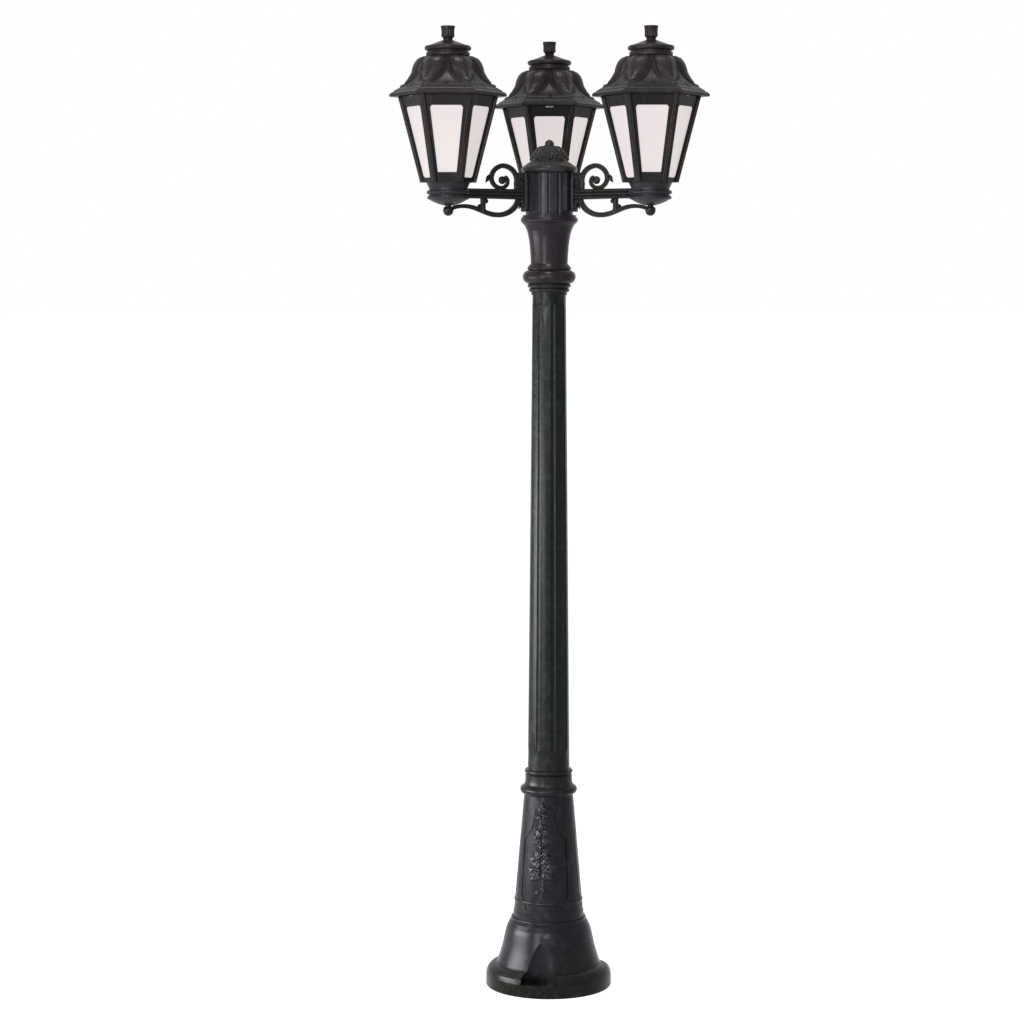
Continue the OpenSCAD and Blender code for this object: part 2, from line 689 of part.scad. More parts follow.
pin_r = 3.9;

module arm_at(k) {
    color(charcoal) rotate([0, 0, arm_angle(k)]) arm();
}

// Lantern

module lantern_base(k) {
    rim_r = bowl_ring_r + 1.6;
    color(charcoal) at_lantern(k) difference() {
        rotate_extrude() difference() {
            union() {
                polygon(concat([[0, bowl_z], [10, bowl_z]],
                    [for (i = [0 : 6])
                        bend2([10, bowl_z], [30, bowl_z + 5], [bowl_ring_r - 2, bowl_z + 13], i / 6)],
                    [[0, bowl_z + 13]]));
                translate([0, bowl_z + 12]) square([bowl_ring_r - 4, bowl_h - 12]);
                bead(bowl_ring_r, bowl_z + 15, 4);
                bead(bowl_ring_r + 1, bowl_z + 25, 4);
                polygon([[0, bowl_z + 28], [bowl_ring_r - 3, bowl_z + 34], [rim_r, bowl_z + bowl_h],
                    [0, bowl_z + bowl_h]]);
            }
            polygon([
                [0, bowl_z + bowl_wall], [12, bowl_z + bowl_wall], [bowl_ring_r - 4 - bowl_wall, bowl_z + 16],
                [bowl_ring_r - 4 - bowl_wall, bowl_z + bowl_h + 1], [0, bowl_z + bowl_h + 1]]);
        }
        translate([0, 0, bowl_z - 1]) cylinder(r = pin_r + fit, h = bowl_wall + 2);
        translate([-bowl_ring_r - 5, 0, bar_z]) rotate([0, 90, 0])
            cylinder(r = wire_r + 1.6 + fit, h = bowl_ring_r);
    }
}

module bowl_nut(k) {
    color("#b9b6ab") at_lantern(k) translate([0, 0, bowl_z + bowl_wall + seat])
        hex_nut(pin_r + thread_gap, pin_r + 4, nut_t - 1);
}

// One wall of the cage, drawn flat: x across, y up the slope
module cage_face() {
    sill = sill_h / cos(lean);
    head = slant - rail_h / cos(lean);
    c = window_cut;
    low = window_w / 2;
    high = window_top_w / 2;
    difference() {
        polygon([[-cage_r / 2, 0], [cage_r / 2, 0], [cage_top_r / 2, slant], [-cage_top_r / 2, slant]]);
        polygon([[-low + c, sill], [low - c, sill], [low + c * 0.2, sill + c], [high - c * 0.2, head - c],
            [high - c, head], [-high + c, head], [-high + c * 0.2, head - c], [-low - c * 0.2, sill + c]]);
    }
}

// Shallow recess in the sill and line in the rail over the window
module cage_lines() {
    sill_w = cage_r - post_w - 4;
    rail_w = cage_top_r - post_w - 8;
    translate([-sill_w / 2, sill_h * 0.3]) square([sill_w, sill_h * 0.45]);
    translate([-rail_w / 2, slant - rail_h * 0.6]) square([rail_w, rail_h * 0.12]);
}

// Half of a corner post's section from its middle outwards: a flat crest and a ridge at its side
function post_half() = let (w = post_w / 2, low = post_out - ridge_depth) [
    [post_out, w * 0.3], [low, w * 0.42], [low, w * 0.56], [post_out - 0.4, w * 0.68],
    [post_out - 0.7, w * 0.86], [post_out - 1.6, w]];
module post_section() {
    half = post_half();
    last = len(half) - 1;
    polygon(concat([[-cage_wall, -post_w / 2]], [for (i = [last : -1 : 0]) [half[i][0], -half[i][1]]],
        half, [[-cage_wall, post_w / 2]]));
}

module lantern_frame(k) {
    color(charcoal) at_lantern(k) difference() {
        intersection() {
            union() {
                for (i = [0 : 5]) rotate([0, 0, 60 * i]) {
                    translate([cage_r * hex, 0, cage_z]) rotate([0, lean, 0]) difference() {
                        translate([-cage_wall, 0, 0]) facing_x(cage_wall) cage_face();
                        translate([-recess_depth, 0, 0]) facing_x(cage_wall) cage_lines();
                    }
                    rotate([0, 0, 30]) translate([cage_r, 0, cage_z]) rotate([0, corner_lean, 0])
                        translate([0, 0, -5]) linear_extrude(slant + 10) post_section();
                }
                translate([0, 0, cage_z]) rotate([0, 0, 30])
                    cylinder(r = cage_r - 1, h = cage_floor, $fn = 6);
            }
            translate([0, 0, cage_z]) cylinder(r = 2 * cage_top_r, h = cage_h);
        }
        // Hole for the lampholder's nipple, and the notches that hold the roof bridge
        translate([0, 0, cage_z - 1]) cylinder(r = nipple_r + fit, h = cage_floor + 2);
        translate([-cage_top_r, -bridge_w / 2 - fit, cage_top - bridge_t - fit])
            cube([2 * cage_top_r, bridge_w + 2 * fit, bridge_t + 2]);
    }
}

module hex_cone(r_low, r_high, h) {
    rotate([0, 0, 30]) cylinder(r1 = r_low, r2 = r_high, h = h, $fn = 6);
}

// Opal sleeve behind the windows, leaning with the cage's walls
module diffuser(k) {
    back = (cage_wall / cos(lean) + seat) / hex;
    low_z = cage_floor + seat;
    high_z = cage_h - bridge_t - 1;
    r1 = cage_r_at(low_z) - back;
    r2 = cage_r_at(high_z) - back;
    rise = (r2 - r1) / (high_z - low_z);
    t = opal_t / hex;
    color("#ece5e6") at_lantern(k) translate([0, 0, cage_z + low_z]) difference() {
        hex_cone(r1, r2, high_z - low_z);
        translate([0, 0, -1]) hex_cone(r1 - t - rise, r2 - t + rise, high_z - low_z + 2);
    }
}

nipple_r = 5;
module lampholder(k) {
    bore = cap_thread_r + seat + 0.1;
    color("#f2efe8") at_lantern(k) translate([0, 0, holder_z + seat]) difference() {
        union() {
            cylinder(r = holder_r, h = 13);
            translate([0, 0, 12]) cylinder(r1 = holder_r, r2 = holder_r - 2.5, h = 4);
            cylinder(r = holder_r - 2.5, h = holder_h);
        }
        translate([0, 0, holder_h - cap_thread_h - seat]) cylinder(r = bore, h = holder_h);
        translate([0, 0, -1]) cylinder(r = nipple_r + fit, h = 9);
        translate([0, 0, 7]) cylinder(r = 3, h = holder_h);
    }
}

module lampholder_nut(k) {
    color("#b08d4a") at_lantern(k) translate([0, 0, cage_z]) {
        difference() {
            union() {
                translate([0, 0, -12]) cylinder(r = nipple_r, h = 12 + cage_floor + 7);
                translate([0, 0, -5 - seat]) cylinder(r = nipple_r + 4, h = 5, $fn = 6);
            }
            translate([0, 0, -13]) cylinder(r = 3, h = 40);
        }
    }
}

lamp_z = holder_z + seat + holder_h - cap_thread_h;
module bulb_cap(k) {
    color("#c9c7c0") at_lantern(k) translate([0, 0, lamp_z]) {
        cylinder(r1 = 5, r2 = cap_thread_r - 1, h = 4);
        translate([0, 0, 4]) cylinder(r = cap_thread_r, h = cap_thread_h - 4);
    }
}

// Outline of the glass: a flared neck that runs into a round top
function glass_outline() = let (centre = lamp_l - glass_r - cap_thread_h, join = -20) concat(
    [[0, 0], [cap_thread_r, 0]],
    [for (i = [0 : 7]) bend3([cap_thread_r, 2], [cap_thread_r + 1, 16], [glass_r - 4, 24],
        [glass_r * cos(join), centre + glass_r * sin(join)], i / 8)],
    [for (i = [0 : 10]) let (a = lerp(join, 90, i / 10)) [glass_r * cos(a), centre + glass_r * sin(a)]]);
module bulb_glass(k) {
    color("#f4f1ea") at_lantern(k) translate([0, 0, lamp_z + cap_thread_h])
        rotate_extrude() polygon(glass_outline());
}

module roof_bridge(k) {
    reach = cage_top_r * hex - 1.2;
    color("#9a9ea1") at_lantern(k) translate([0, 0, cage_top - bridge_t]) difference() {
        translate([-reach, -bridge_w / 2, 0]) cube([2 * reach, bridge_w, bridge_t]);
        translate([0, 0, -1]) cylinder(r = stud_r + fit, h = bridge_t + 2);
    }
}

module roof_stud(k) {
    color("#b9b6ab") at_lantern(k) {
        translate([0, 0, cage_top - bridge_t - 8])
            cylinder(r = stud_r, h = finial_z + 14 - cage_top + bridge_t + 8);
        translate([0, 0, cage_top + fit]) cylinder(r = stud_r + 3, h = 5, $fn = 6);
        translate([0, 0, cage_top - bridge_t - 5 - fit]) cylinder(r = stud_r + 3, h = 5, $fn = 6);
    }
}

// Roof

eave_a = eave_r * hex;
roof_mid = [eave_a * 0.613, roof_h * 0.61];
roof_crown = [neck_ring_r - 6.5, roof_h];
// Side of the roof from the eave to the neck: a band, a hollow sweep, then a round shoulder
band_share = 0.42;
function roof_sweep(t, grow) = bend2([eave_a + grow, lip_h],
    [eave_a * 0.709 + grow, roof_h * 0.286 + grow], roof_mid + [grow, 0], t);
function roof_side(grow) = concat(
    [roof_sweep(0, grow)],
    [for (i = [1 : 4]) roof_sweep(band_share * i / 4, grow) + [band_out, 0]],
    [for (i = [0 : 4]) roof_sweep(lerp(band_share, 1, i / 4), grow) + [0, i == 0 ? band_out : 0]],
    [for (i = [1 : 6]) bend2(roof_mid + [grow, 0], [eave_a * 0.567 + grow, roof_h + grow],
        roof_crown + [0, grow], i / 6)]);
// Hexagonal body with this side all round: three long bars of the same outline, crossed
module roof_body(side, bottom, top) {
    last = len(side) - 1;
    half = concat([[side[0][0], bottom]], side, [[side[last][0], top]]);
    intersection_for(i = [0 : 2]) rotate([0, 0, 60 * i]) translate([0, eave_r, 0]) rotate([90, 0, 0])
        linear_extrude(2 * eave_r) polygon(concat(half,
            [for (j = [len(half) - 1 : -1 : 0]) [-half[j][0], half[j][1]]]));
}

tongue_tip = roof_h * 0.27;
tongue_full = roof_h * 0.68;
// Tongue over a corner, seen square on and drawn in by inset: straight sides and an oval end
module tongue_outline(inset = 0) {
    half = eave_a * 0.613 / hex * sin(tongue_angle) - inset;
    drop = tongue_full - tongue_tip - inset;
    polygon(concat(
        [[-half * 0.84, roof_h + 4]],
        [for (i = [0 : 12]) let (a = 180 + 15 * i) [half * cos(a), tongue_full + drop * sin(a)]],
        [[half * 0.84, roof_h + 4]]));
}
module over_corners() {
    for (i = [0 : 5]) rotate([0, 0, 30 + 60 * i])
        translate([neck_ring_r * 0.8, 0, 0]) facing_x(eave_r) children();
}

module roof(k) {
    side = roof_side(0);
    // Depth of the groove between the neck ring and the disc cap
    groove_deep = 3.5;
    color(charcoal) at_lantern(k) translate([0, 0, roof_z]) {
        difference() {
            union() {
                roof_body(side, 0, roof_h + 0.01);
                intersection() {
                    roof_body(roof_side(tongue_out), 0, roof_h + tongue_out + 0.01);
                    over_corners() tongue_outline();
                }
            }
            // Groove along each tongue's edge
            intersection() {
                difference() {
                    roof_body(roof_side(tongue_out + 1), 0, roof_h + tongue_out + 1);
                    roof_body(roof_side(tongue_out / 2), -1, roof_h + tongue_out / 2);
                }
                over_corners() difference() {
                    tongue_outline(groove_in);
                    tongue_outline(groove_in + groove_w);
                }
            }
            intersection() {
                roof_body([for (p = side) [p[0] - roof_wall, p[1] - roof_wall]],
                    -1, roof_h - roof_wall + 0.01);
                translate([0, 0, -1]) rotate([0, 0, 30])
                    cylinder(r = cage_top_r - 5, h = roof_h, $fn = 6);
            }
            translate([0, 0, roof_h / 2]) cylinder(r = stud_r + fit, h = roof_h);
        }
        translate([0, 0, roof_h - 0.5]) rotate_extrude() difference() {
            union() {
                square([neck_ring_r - groove_deep, neck_ring_h + 0.5]);
                square([neck_ring_r - 0.8, neck_ring_h * 0.7]);
                bead(neck_ring_r, neck_ring_h * 0.45, neck_ring_h * 0.36);
            }
            translate([-1, -1]) square([neck_ring_r - 7, neck_ring_h + 3]);
        }
    }
}

module roof_disc(k) {
    rim = 5;
    edge = [disc_r - rim, 2 * rim];
    crown = [9.5, disc_h];
    color(charcoal) at_lantern(k) translate([0, 0, disc_z]) rotate_extrude() difference() {
        union() {
            bead(disc_r, rim, rim);
            polygon(concat([[0, 0], [disc_r - rim, 0]],
                [for (i = [0 : 6]) bend2(edge, lerp(edge, crown, 0.55) + [0, 1.4], crown, i / 6)],
                [[0, disc_h]]));
        }
        translate([-1, -1]) square([stud_r + fit + 1, disc_h + 2]);
    }
}

module finial(k) {
    neck = 7;
    color(charcoal) at_lantern(k) translate([0, 0, finial_z]) difference() {
        rotate_extrude() {
            square([8.8, neck + 1]);
            bead(10, neck - 1, 2);
            polygon(concat([[0, neck], [9, neck]],
                [for (i = [0 : 4])
                    bend2([9, neck], [finial_r - 0.5, neck + 1], [finial_r - 0.6, neck + 6], i / 4)],
                [[finial_r - 0.9, finial_h - 8], [finial_r, finial_h - 3], [finial_r + 0.5, finial_h - 1],
                 [finial_r - 1, finial_h], [0, finial_h]]));
        }
        for (i = [0 : finial_ribs - 1]) rotate([0, 0, 360 / finial_ribs * (i + 0.5)])
            translate([finial_r + 1, 0, neck + 5]) cylinder(r = 2.2, h = finial_h - neck - 11, $fn = 24);
        translate([0, 0, finial_h - 2]) cylinder(r = finial_r - 3, h = 3);
        translate([0, 0, -1]) cylinder(r = stud_r + thread_gap, h = 20);
    }
}

base_pedestal();
pedestal_collar();
pole_shaft();
core_tube();
neck_capital();
hub_drum();
hub_cap();
terminal_block();
arm_nuts();
arm_at(0);  // arm_1
arm_at(1);  // arm_2
arm_at(2);  // arm_3
lantern_base(0);  // lantern_base_1
lantern_base(1);  // lantern_base_2
lantern_base(2);  // lantern_base_3
bowl_nut(0);  // bowl_nut_1
bowl_nut(1);  // bowl_nut_2
bowl_nut(2);  // bowl_nut_3
lantern_frame(0);  // lantern_frame_1
lantern_frame(1);  // lantern_frame_2
lantern_frame(2);  // lantern_frame_3
diffuser(0);  // diffuser_1
diffuser(1);  // diffuser_2
diffuser(2);  // diffuser_3
lampholder(0);  // lampholder_1
lampholder(1);  // lampholder_2
lampholder(2);  // lampholder_3
lampholder_nut(0);  // lampholder_nut_1
lampholder_nut(1);  // lampholder_nut_2
lampholder_nut(2);  // lampholder_nut_3
bulb_cap(0);  // bulb_cap_1
bulb_cap(1);  // bulb_cap_2
bulb_cap(2);  // bulb_cap_3
bulb_glass(0);  // bulb_glass_1
bulb_glass(1);  // bulb_glass_2
bulb_glass(2);  // bulb_glass_3
roof_bridge(0);  // roof_bridge_1
roof_bridge(1);  // roof_bridge_2
roof_bridge(2);  // roof_bridge_3
roof_stud(0);  // roof_stud_1
roof_stud(1);  // roof_stud_2
roof_stud(2);  // roof_stud_3
roof(0);  // roof_1
roof(1);  // roof_2
roof(2);  // roof_3
roof_disc(0);  // roof_disc_1
roof_disc(1);  // roof_disc_2
roof_disc(2);  // roof_disc_3
finial(0);  // finial_1
finial(1);  // finial_2
finial(2);  // finial_3
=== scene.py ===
# %% [markdown]
# # A garden lamp post with three hexagonal lanterns
# The real object is moulded in charcoal resin round a steel tube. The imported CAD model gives
# every piece its place and size. This lesson loads it, gives each finish its material, and puts
# finer surfaces in place of the pieces that carry ornament: roofs, discs, finials, cages, scroll
# arms, hub cap and collar. A vine and two bands are added as trim on the foot.
# One frame is shared, in metres, with +Z up the post.

# %% Load the frame
import json
import math

import bmesh
import bpy
import numpy as np
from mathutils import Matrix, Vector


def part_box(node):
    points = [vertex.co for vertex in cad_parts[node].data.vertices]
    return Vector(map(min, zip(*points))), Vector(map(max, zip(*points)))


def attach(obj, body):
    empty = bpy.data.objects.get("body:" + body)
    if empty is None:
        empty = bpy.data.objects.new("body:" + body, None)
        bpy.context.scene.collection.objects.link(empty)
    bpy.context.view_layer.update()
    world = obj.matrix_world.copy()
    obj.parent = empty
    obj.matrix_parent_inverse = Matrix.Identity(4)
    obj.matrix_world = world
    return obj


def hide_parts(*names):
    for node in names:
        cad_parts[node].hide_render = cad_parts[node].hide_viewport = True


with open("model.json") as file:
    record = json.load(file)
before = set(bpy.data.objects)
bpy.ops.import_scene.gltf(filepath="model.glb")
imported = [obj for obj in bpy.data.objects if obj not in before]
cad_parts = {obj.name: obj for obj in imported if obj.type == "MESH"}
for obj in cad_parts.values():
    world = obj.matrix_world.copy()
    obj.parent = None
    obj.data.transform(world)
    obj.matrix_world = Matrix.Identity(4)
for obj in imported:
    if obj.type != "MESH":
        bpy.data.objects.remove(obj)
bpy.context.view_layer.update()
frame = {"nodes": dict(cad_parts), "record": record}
MM = 0.001


def low(node):
    """Height in mm of the lowest point of a CAD node."""
    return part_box(node)[0].z / MM


def high(node):
    """Height in mm of the highest point of a CAD node."""
    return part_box(node)[1].z / MM


JOINTS = {j["name"]: j for j in frame["record"]["behaviour"]["joints"]}
ARM_REACH = math.hypot(*JOINTS["finial_3_turn"]["pos_m"][:2]) / MM
print("arms reach", round(ARM_REACH), "mm")

# %% [markdown]
# ## Camera
# The photograph looks slightly down at the whole post from about five metres. The horizon lies
# well below the lanterns, so the camera stands at that height and tips down.
# A focal length is given in pixels of the square picture and turned into an angle of view.

# %% The camera
PICTURE = 1024
FOCAL = 2650.5
CAMERA_AT = (0.0, -5.30, 1.409)
TIP_DOWN = math.radians(4.811)
TURN_LEFT = math.radians(0.801)
camera_data = bpy.data.cameras.new("camera")
camera_data.sensor_fit = "HORIZONTAL"
camera_data.angle = 2 * math.atan(PICTURE / 2 / FOCAL)
camera = bpy.data.objects.new("camera", camera_data)
camera.location = CAMERA_AT
camera.rotation_euler = (math.pi / 2 - TIP_DOWN, 0, TURN_LEFT)
bpy.context.scene.collection.objects.link(camera)
bpy.context.scene.camera = camera
print("angle of view", round(math.degrees(camera_data.angle), 1), "degrees")

# %% [markdown]
# ## Writing shaders as sums
# A material is a small calculation, and it reads best as one. A socket is wrapped in a class
# whose plus and times each add a Math node. Colours go through Mix, and every other node comes
# from one method that takes its type, its settings and its inputs. The same class of tree
# serves the world at the end.

# %% The socket wrapper


class Value:
    """One output socket of a node, with the arithmetic that adds Math nodes to it."""

    def __init__(self, shader, socket):
        self.shader = shader
        self.socket = socket

    def math(self, operation, *others):
        inputs = dict(enumerate((self, *others)))
        return self.shader.node("ShaderNodeMath", {"operation": operation}, inputs)

    def __add__(self, other):
        return self.math("ADD", other)

    def __mul__(self, other):
        return self.math("MULTIPLY", other)

    __radd__ = __add__


class Shader:
    """A node tree of a material or a world."""

    def __init__(self, tree):
        self.tree = tree

    def feed(self, node, inputs):
        """Give sockets their values, or link them where the value is another node's output."""
        for key, value in inputs.items():
            socket = node.inputs[key]
            if isinstance(value, Value):
                self.tree.links.new(value.socket, socket)
            else:
                socket.default_value = value

    def node(self, kind, settings=None, inputs=None, output=0):
        """A new node of this kind: its settings first, then the values or links of its sockets."""
        node = self.tree.nodes.new(kind)
        for key, value in (settings or {}).items():
            setattr(node, key, value)
        self.feed(node, inputs or {})
        return Value(self, node.outputs[output])


class Finish(Shader):
    """A material whose surface is one Principled shader."""

    def __init__(self, name, **constants):
        self.material = bpy.data.materials.new(name)
        self.material.use_nodes = True
        super().__init__(self.material.node_tree)
        self.surface = self.tree.nodes["Principled BSDF"]
        self.dress(**constants)

    def dress(self, **inputs):
        """Feed the Principled shader; an underscore stands for the space in a socket's name."""
        self.feed(self.surface, {key.replace("_", " "): v for key, v in inputs.items()})
        return self.material

    def place(self):
        """Where a point lies on the piece, in metres."""
        return self.node("ShaderNodeTexCoord", output="Object")

    def noise(self, size, detail=3.0, roughness=0.5, stretch=(1, 1, 1)):
        """Cloudy values from 0 to 1 whose lumps are about this size in metres."""
        scaled = self.node("ShaderNodeMapping", inputs={"Vector": self.place(), "Scale": stretch})
        return self.node("ShaderNodeTexNoise", inputs={
            "Vector": scaled, "Scale": 1 / size, "Detail": detail, "Roughness": roughness})

    def blend(self, share, first, second):
        """A colour between two: first where share is 0, second where it is 1."""
        return self.node("ShaderNodeMix", {"data_type": "RGBA"},
                         {0: share, 6: first, 7: second}, output=2)

    def span(self, value, start, end):
        """Value carried from start..end to 0..1, held at the ends."""
        return self.node("ShaderNodeMapRange", inputs={0: value, 1: start, 2: end})

    def height(self):
        """Height of a point above the floor, in metres."""
        return self.node("ShaderNodeSeparateXYZ", inputs={0: self.place()}, output="Z")

    def from_axis(self):
        """Distance of a point from the post's axis: the length of its place with no height."""
        kind = "ShaderNodeVectorMath"
        flat = self.node(kind, {"operation": "MULTIPLY"}, {0: self.place(), 1: (1, 1, 0)})
        return self.node(kind, {"operation": "LENGTH"}, {0: flat}, output="Value")

    def bump(self, height, distance, strength):
        """A normal tilted by a height that stands for this distance in metres."""
        return self.node("ShaderNodeBump", inputs={
            "Height": height, "Distance": distance, "Strength": strength})


def tint(code, level=1.0):
    """Linear colour of a six-digit screen colour: each channel's screen value, decoded."""
    screen = np.array([int(code[i:i + 2], 16) / 255 for i in (0, 2, 4)])
    linear = np.where(screen <= 0.04045, screen / 12.92, ((screen + 0.055) / 1.055) ** 2.4)
    return (*(float(c) * level for c in linear), 1.0)


print("charcoal is", [round(c, 3) for c in tint("26262a")[:3]])

# %% [markdown]
# ## Charcoal resin
# The post is moulded in a dark resin with the colour all through it. The surface is satin, with
# the fine grain of a blasted mould and faint vertical flow marks. It is not one black: the shaft
# leans to green, the foot and the lanterns to a bluish charcoal, and dust dulls it in clouds.
# Height up the post drives the first change and noise the others. The height zones are partly
# that tint and partly painted light and shade: the drum, the hub cap and the roofs are painted
# lighter where light falls on them, and the flange and the cages darker as painted shade. The arms
# share the post's resin but lie further from the axis than the hub, so distance from the axis
# gives their tint.
# The lanterns are duller than the post, and the vine is a little glossier.

# %% Charcoal resin for post and lanterns
HUB_EDGE = (0.058, 0.064)
ARM_LEVEL = (1.45, 1.46)


def charcoal(name, first, warm, tint_and_painted_light_zones=(), sheen=0.10, outer=None, satin=0.20):
    """Satin resin: tint, painted light and shade by height zones, warm clouds, grain, flow marks.
    """
    finish = Finish(name, Specular_IOR_Level=sheen)
    up = finish.height()
    colour = tint(first)
    for start, end, code in tint_and_painted_light_zones:
        colour = finish.blend(finish.span(up, start, end), colour, tint(code))
    if outer:
        share = finish.span(finish.from_axis(), *HUB_EDGE) * finish.span(up, *ARM_LEVEL)
        colour = finish.blend(share, colour, tint(outer))
    clouds = finish.span(finish.noise(0.09, 4), 0.42, 0.70)
    colour = finish.blend(clouds * 0.6, colour, tint(warm))
    dust = finish.span(finish.noise(0.018, 6, 0.65), 0.52, 0.78)
    colour = finish.blend(dust * 0.16, colour, tint("4a4a4c"))
    flow = finish.noise(0.010, 4, 0.6, stretch=(1, 1, 0.12))
    grain = finish.noise(0.0009, 2, 0.7)
    specks = finish.noise(0.0032, 3, 0.6)
    patches = finish.span(finish.noise(0.04, 4), 0.3, 0.7)
    rough = satin + patches * 0.10 + dust * 0.10 + grain * 0.05
    relief = grain * 0.45 + specks * 0.5 + flow * 0.6
    return finish.dress(Base_Color=colour, Roughness=rough,
                        Normal=finish.bump(relief, 0.00045, 0.30))


# Height zones: the resin's tints, and also painted light and shade. The drum, hub cap and roofs
# are painted lighter, and the flange and the cages darker, by how light falls on them.
POST = charcoal("post_resin", "080705", "161412", tint_and_painted_light_zones=(
    (0.024, 0.06, "101116"), (0.38, 0.46, "0b1010"), (1.40, 1.43, "1c171d"),
    (1.552, 1.558, "201f26"), (1.636, 1.640, "262626")), outer="171916")
LANTERN = charcoal("lantern_resin", "1f1e22", "231d1f", sheen=0.12, satin=0.29, tint_and_painted_light_zones=(
    (1.610, 1.616, "100e11"), (1.778, 1.781, "151215"), (1.80, 1.83, "1c181b")))
VINE = charcoal("vine_resin", "0d1013", "131518", sheen=0.25)
print("resins:", POST.name, LANTERN.name, VINE.name)

# %% [markdown]
# ## Opal panes and the small parts
# Behind each window stands a sleeve of opal resin. It is milky and slightly pink, with slow
# clouds. It also glows, and this glow is painted light: the lamp is not lit, so the emission
# stands in for daylight coming through the pane. Steel, zinc, brass, porcelain, lamp glass and
# terminal plastic are one recipe with other numbers, and the lamp's cap has rings, darker in
# their roots as painted shade.

# %% Opal, metal and porcelain


def opal():
    """Milky resin: pinkish white with slow clouds, a soft gloss and a painted glow."""
    # The emission is painted light: it stands in for daylight through the pane, over a low base
    # colour.
    finish = Finish("opal", Roughness=0.34, Specular_IOR_Level=0.3, Emission_Strength=0.68)
    clouds = finish.span(finish.noise(0.12, 2), 0.35, 0.65)
    colour = finish.blend(clouds, tint("efe6e7", 0.12), tint("f3ebe8", 0.12))
    # Colour of the painted glow.
    glow = finish.blend(clouds, tint("f6ecee"), tint("f8f1ef"))
    wave = finish.noise(0.03, 2)
    return finish.dress(Base_Color=colour, Emission_Color=glow,
                        Normal=finish.bump(wave, 0.0006, 0.25))


def speckled(name, first, second, lump, rough, depth, **constants):
    """A plain finish with small changes of colour and roughness and a fine relief."""
    finish = Finish(name, **constants)
    clouds = finish.span(finish.noise(lump, 4, 0.6), 0.35, 0.68)
    fine = finish.noise(lump * 0.16, 3, 0.6)
    roughness = clouds * 0.12 + (rough - 0.06)
    return finish.dress(Base_Color=finish.blend(clouds, tint(first), tint(second)),
                        Roughness=roughness, Normal=finish.bump(fine, depth, 0.5))


def thread_with_painted_shade(name, first, second, pitch, rough, **constants):
    """Rolled metal thread: a saw of rings along Z, with painted shade darkening the roots."""
    finish = Finish(name, **constants)
    ring = (finish.height() * (2 * math.pi / pitch)).math("SINE") * 0.5 + 0.5
    # Painted shade: the colour is darker in each root and lighter on each crest.
    return finish.dress(Base_Color=finish.blend(ring, tint(first), tint(second)),
                        Roughness=ring * -0.1 + (rough + 0.1),
                        Normal=finish.bump(ring, 0.0008, 0.8))


METAL = {"Metallic": 1.0}
GLAZE = {"Specular_IOR_Level": 0.6}
PAINTS = {"post_resin": POST, "lantern_resin": LANTERN, "opal": opal()}
for make, name, *numbers, constants in (
        (speckled, "galvanised_steel", "8f9496", "a9adae", 0.012, 0.42, 0.0002, METAL),
        (speckled, "zinc_fasteners", "b1ab98", "c3bfae", 0.004, 0.34, 0.0001, METAL),
        (speckled, "porcelain", "efeae0", "f4f1ea", 0.02, 0.16, 0.0002, GLAZE),
        (speckled, "brass", "a88445", "c39f5c", 0.004, 0.32, 0.0001, METAL),
        (speckled, "lamp_glass", "f3efe6", "f8f5ef", 0.05, 0.14, 0.0001, GLAZE),
        (thread_with_painted_shade, "lamp_cap", "8d8b85", "d6d4cd", 0.0036, 0.28, METAL),
        (speckled, "terminal_plastic", "d9d6cb", "e6e3d9", 0.006, 0.45, 0.0002, {})):
    PAINTS[name] = make(name, *numbers, **constants)
SLOT_OF = {s["node"]: s["material_slot"] for s in frame["record"]["subparts"]}
for name, node in frame["nodes"].items():
    node.data.materials.clear()
    node.data.materials.append(PAINTS[SLOT_OF[name]])
print(len(PAINTS), "finishes on", len(frame["nodes"]), "nodes")

# %% [markdown]
# ## Surfaces from arrays
# A moulded form is a sheet of points: one parameter runs round it, the other along it. The
# points come from whole-array formulas, and the quads between neighbouring points follow from
# the sheet's numbers of rows and columns. Points that fall together at a pole are merged.

# %% Points into pieces


def quads(rows, columns, close_rows=False, close_columns=True):
    """Corners of the quads between neighbouring points of a sheet, row by row."""
    r = np.arange(rows if close_rows else rows - 1)[:, None]
    c = np.arange(columns if close_columns else columns - 1)[None, :]
    r1, c1 = (r + 1) % rows, (c + 1) % columns
    return np.stack([r * columns + c, r * columns + c1, r1 * columns + c1, r1 * columns + c],
                    axis=-1).reshape(-1, 4)


def piece(name, sheets, body, slot, replaces=(), sharp=38, paint=None):
    """One object of closed sheets (points in metres, quads), welded, with normals outwards."""
    points = np.concatenate([p.reshape(-1, 3) for p, q in sheets])
    starts = np.cumsum([0] + [p.size // 3 for p, q in sheets[:-1]])
    faces = np.concatenate([q + s for (p, q), s in zip(sheets, starts)])
    mesh = bpy.data.meshes.new(name)
    mesh.from_pydata(points.tolist(), [], faces.tolist())
    work = bmesh.new()
    work.from_mesh(mesh)
    bmesh.ops.remove_doubles(work, verts=work.verts, dist=2e-6)
    bmesh.ops.dissolve_degenerate(work, edges=work.edges, dist=1e-7)
    bmesh.ops.recalc_face_normals(work, faces=work.faces)
    work.to_mesh(mesh)
    work.free()
    mesh.polygons.foreach_set("use_smooth", np.ones(len(mesh.polygons), bool))
    mesh.set_sharp_from_angle(angle=math.radians(sharp))
    mesh.materials.append(paint or PAINTS[slot])
    made = bpy.data.objects.new(name, mesh)
    bpy.context.scene.collection.objects.link(made)
    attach(made, body)
    if replaces:
        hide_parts(*replaces)
    print(name, len(mesh.polygons), "faces")


def step(x, start, end):
    """Smooth rise from 0 at start to 1 at end: 3 t squared minus 2 t cubed between them."""
    t = np.clip((x - start) / (end - start), 0, 1)
    return t * t * (3 - 2 * t)


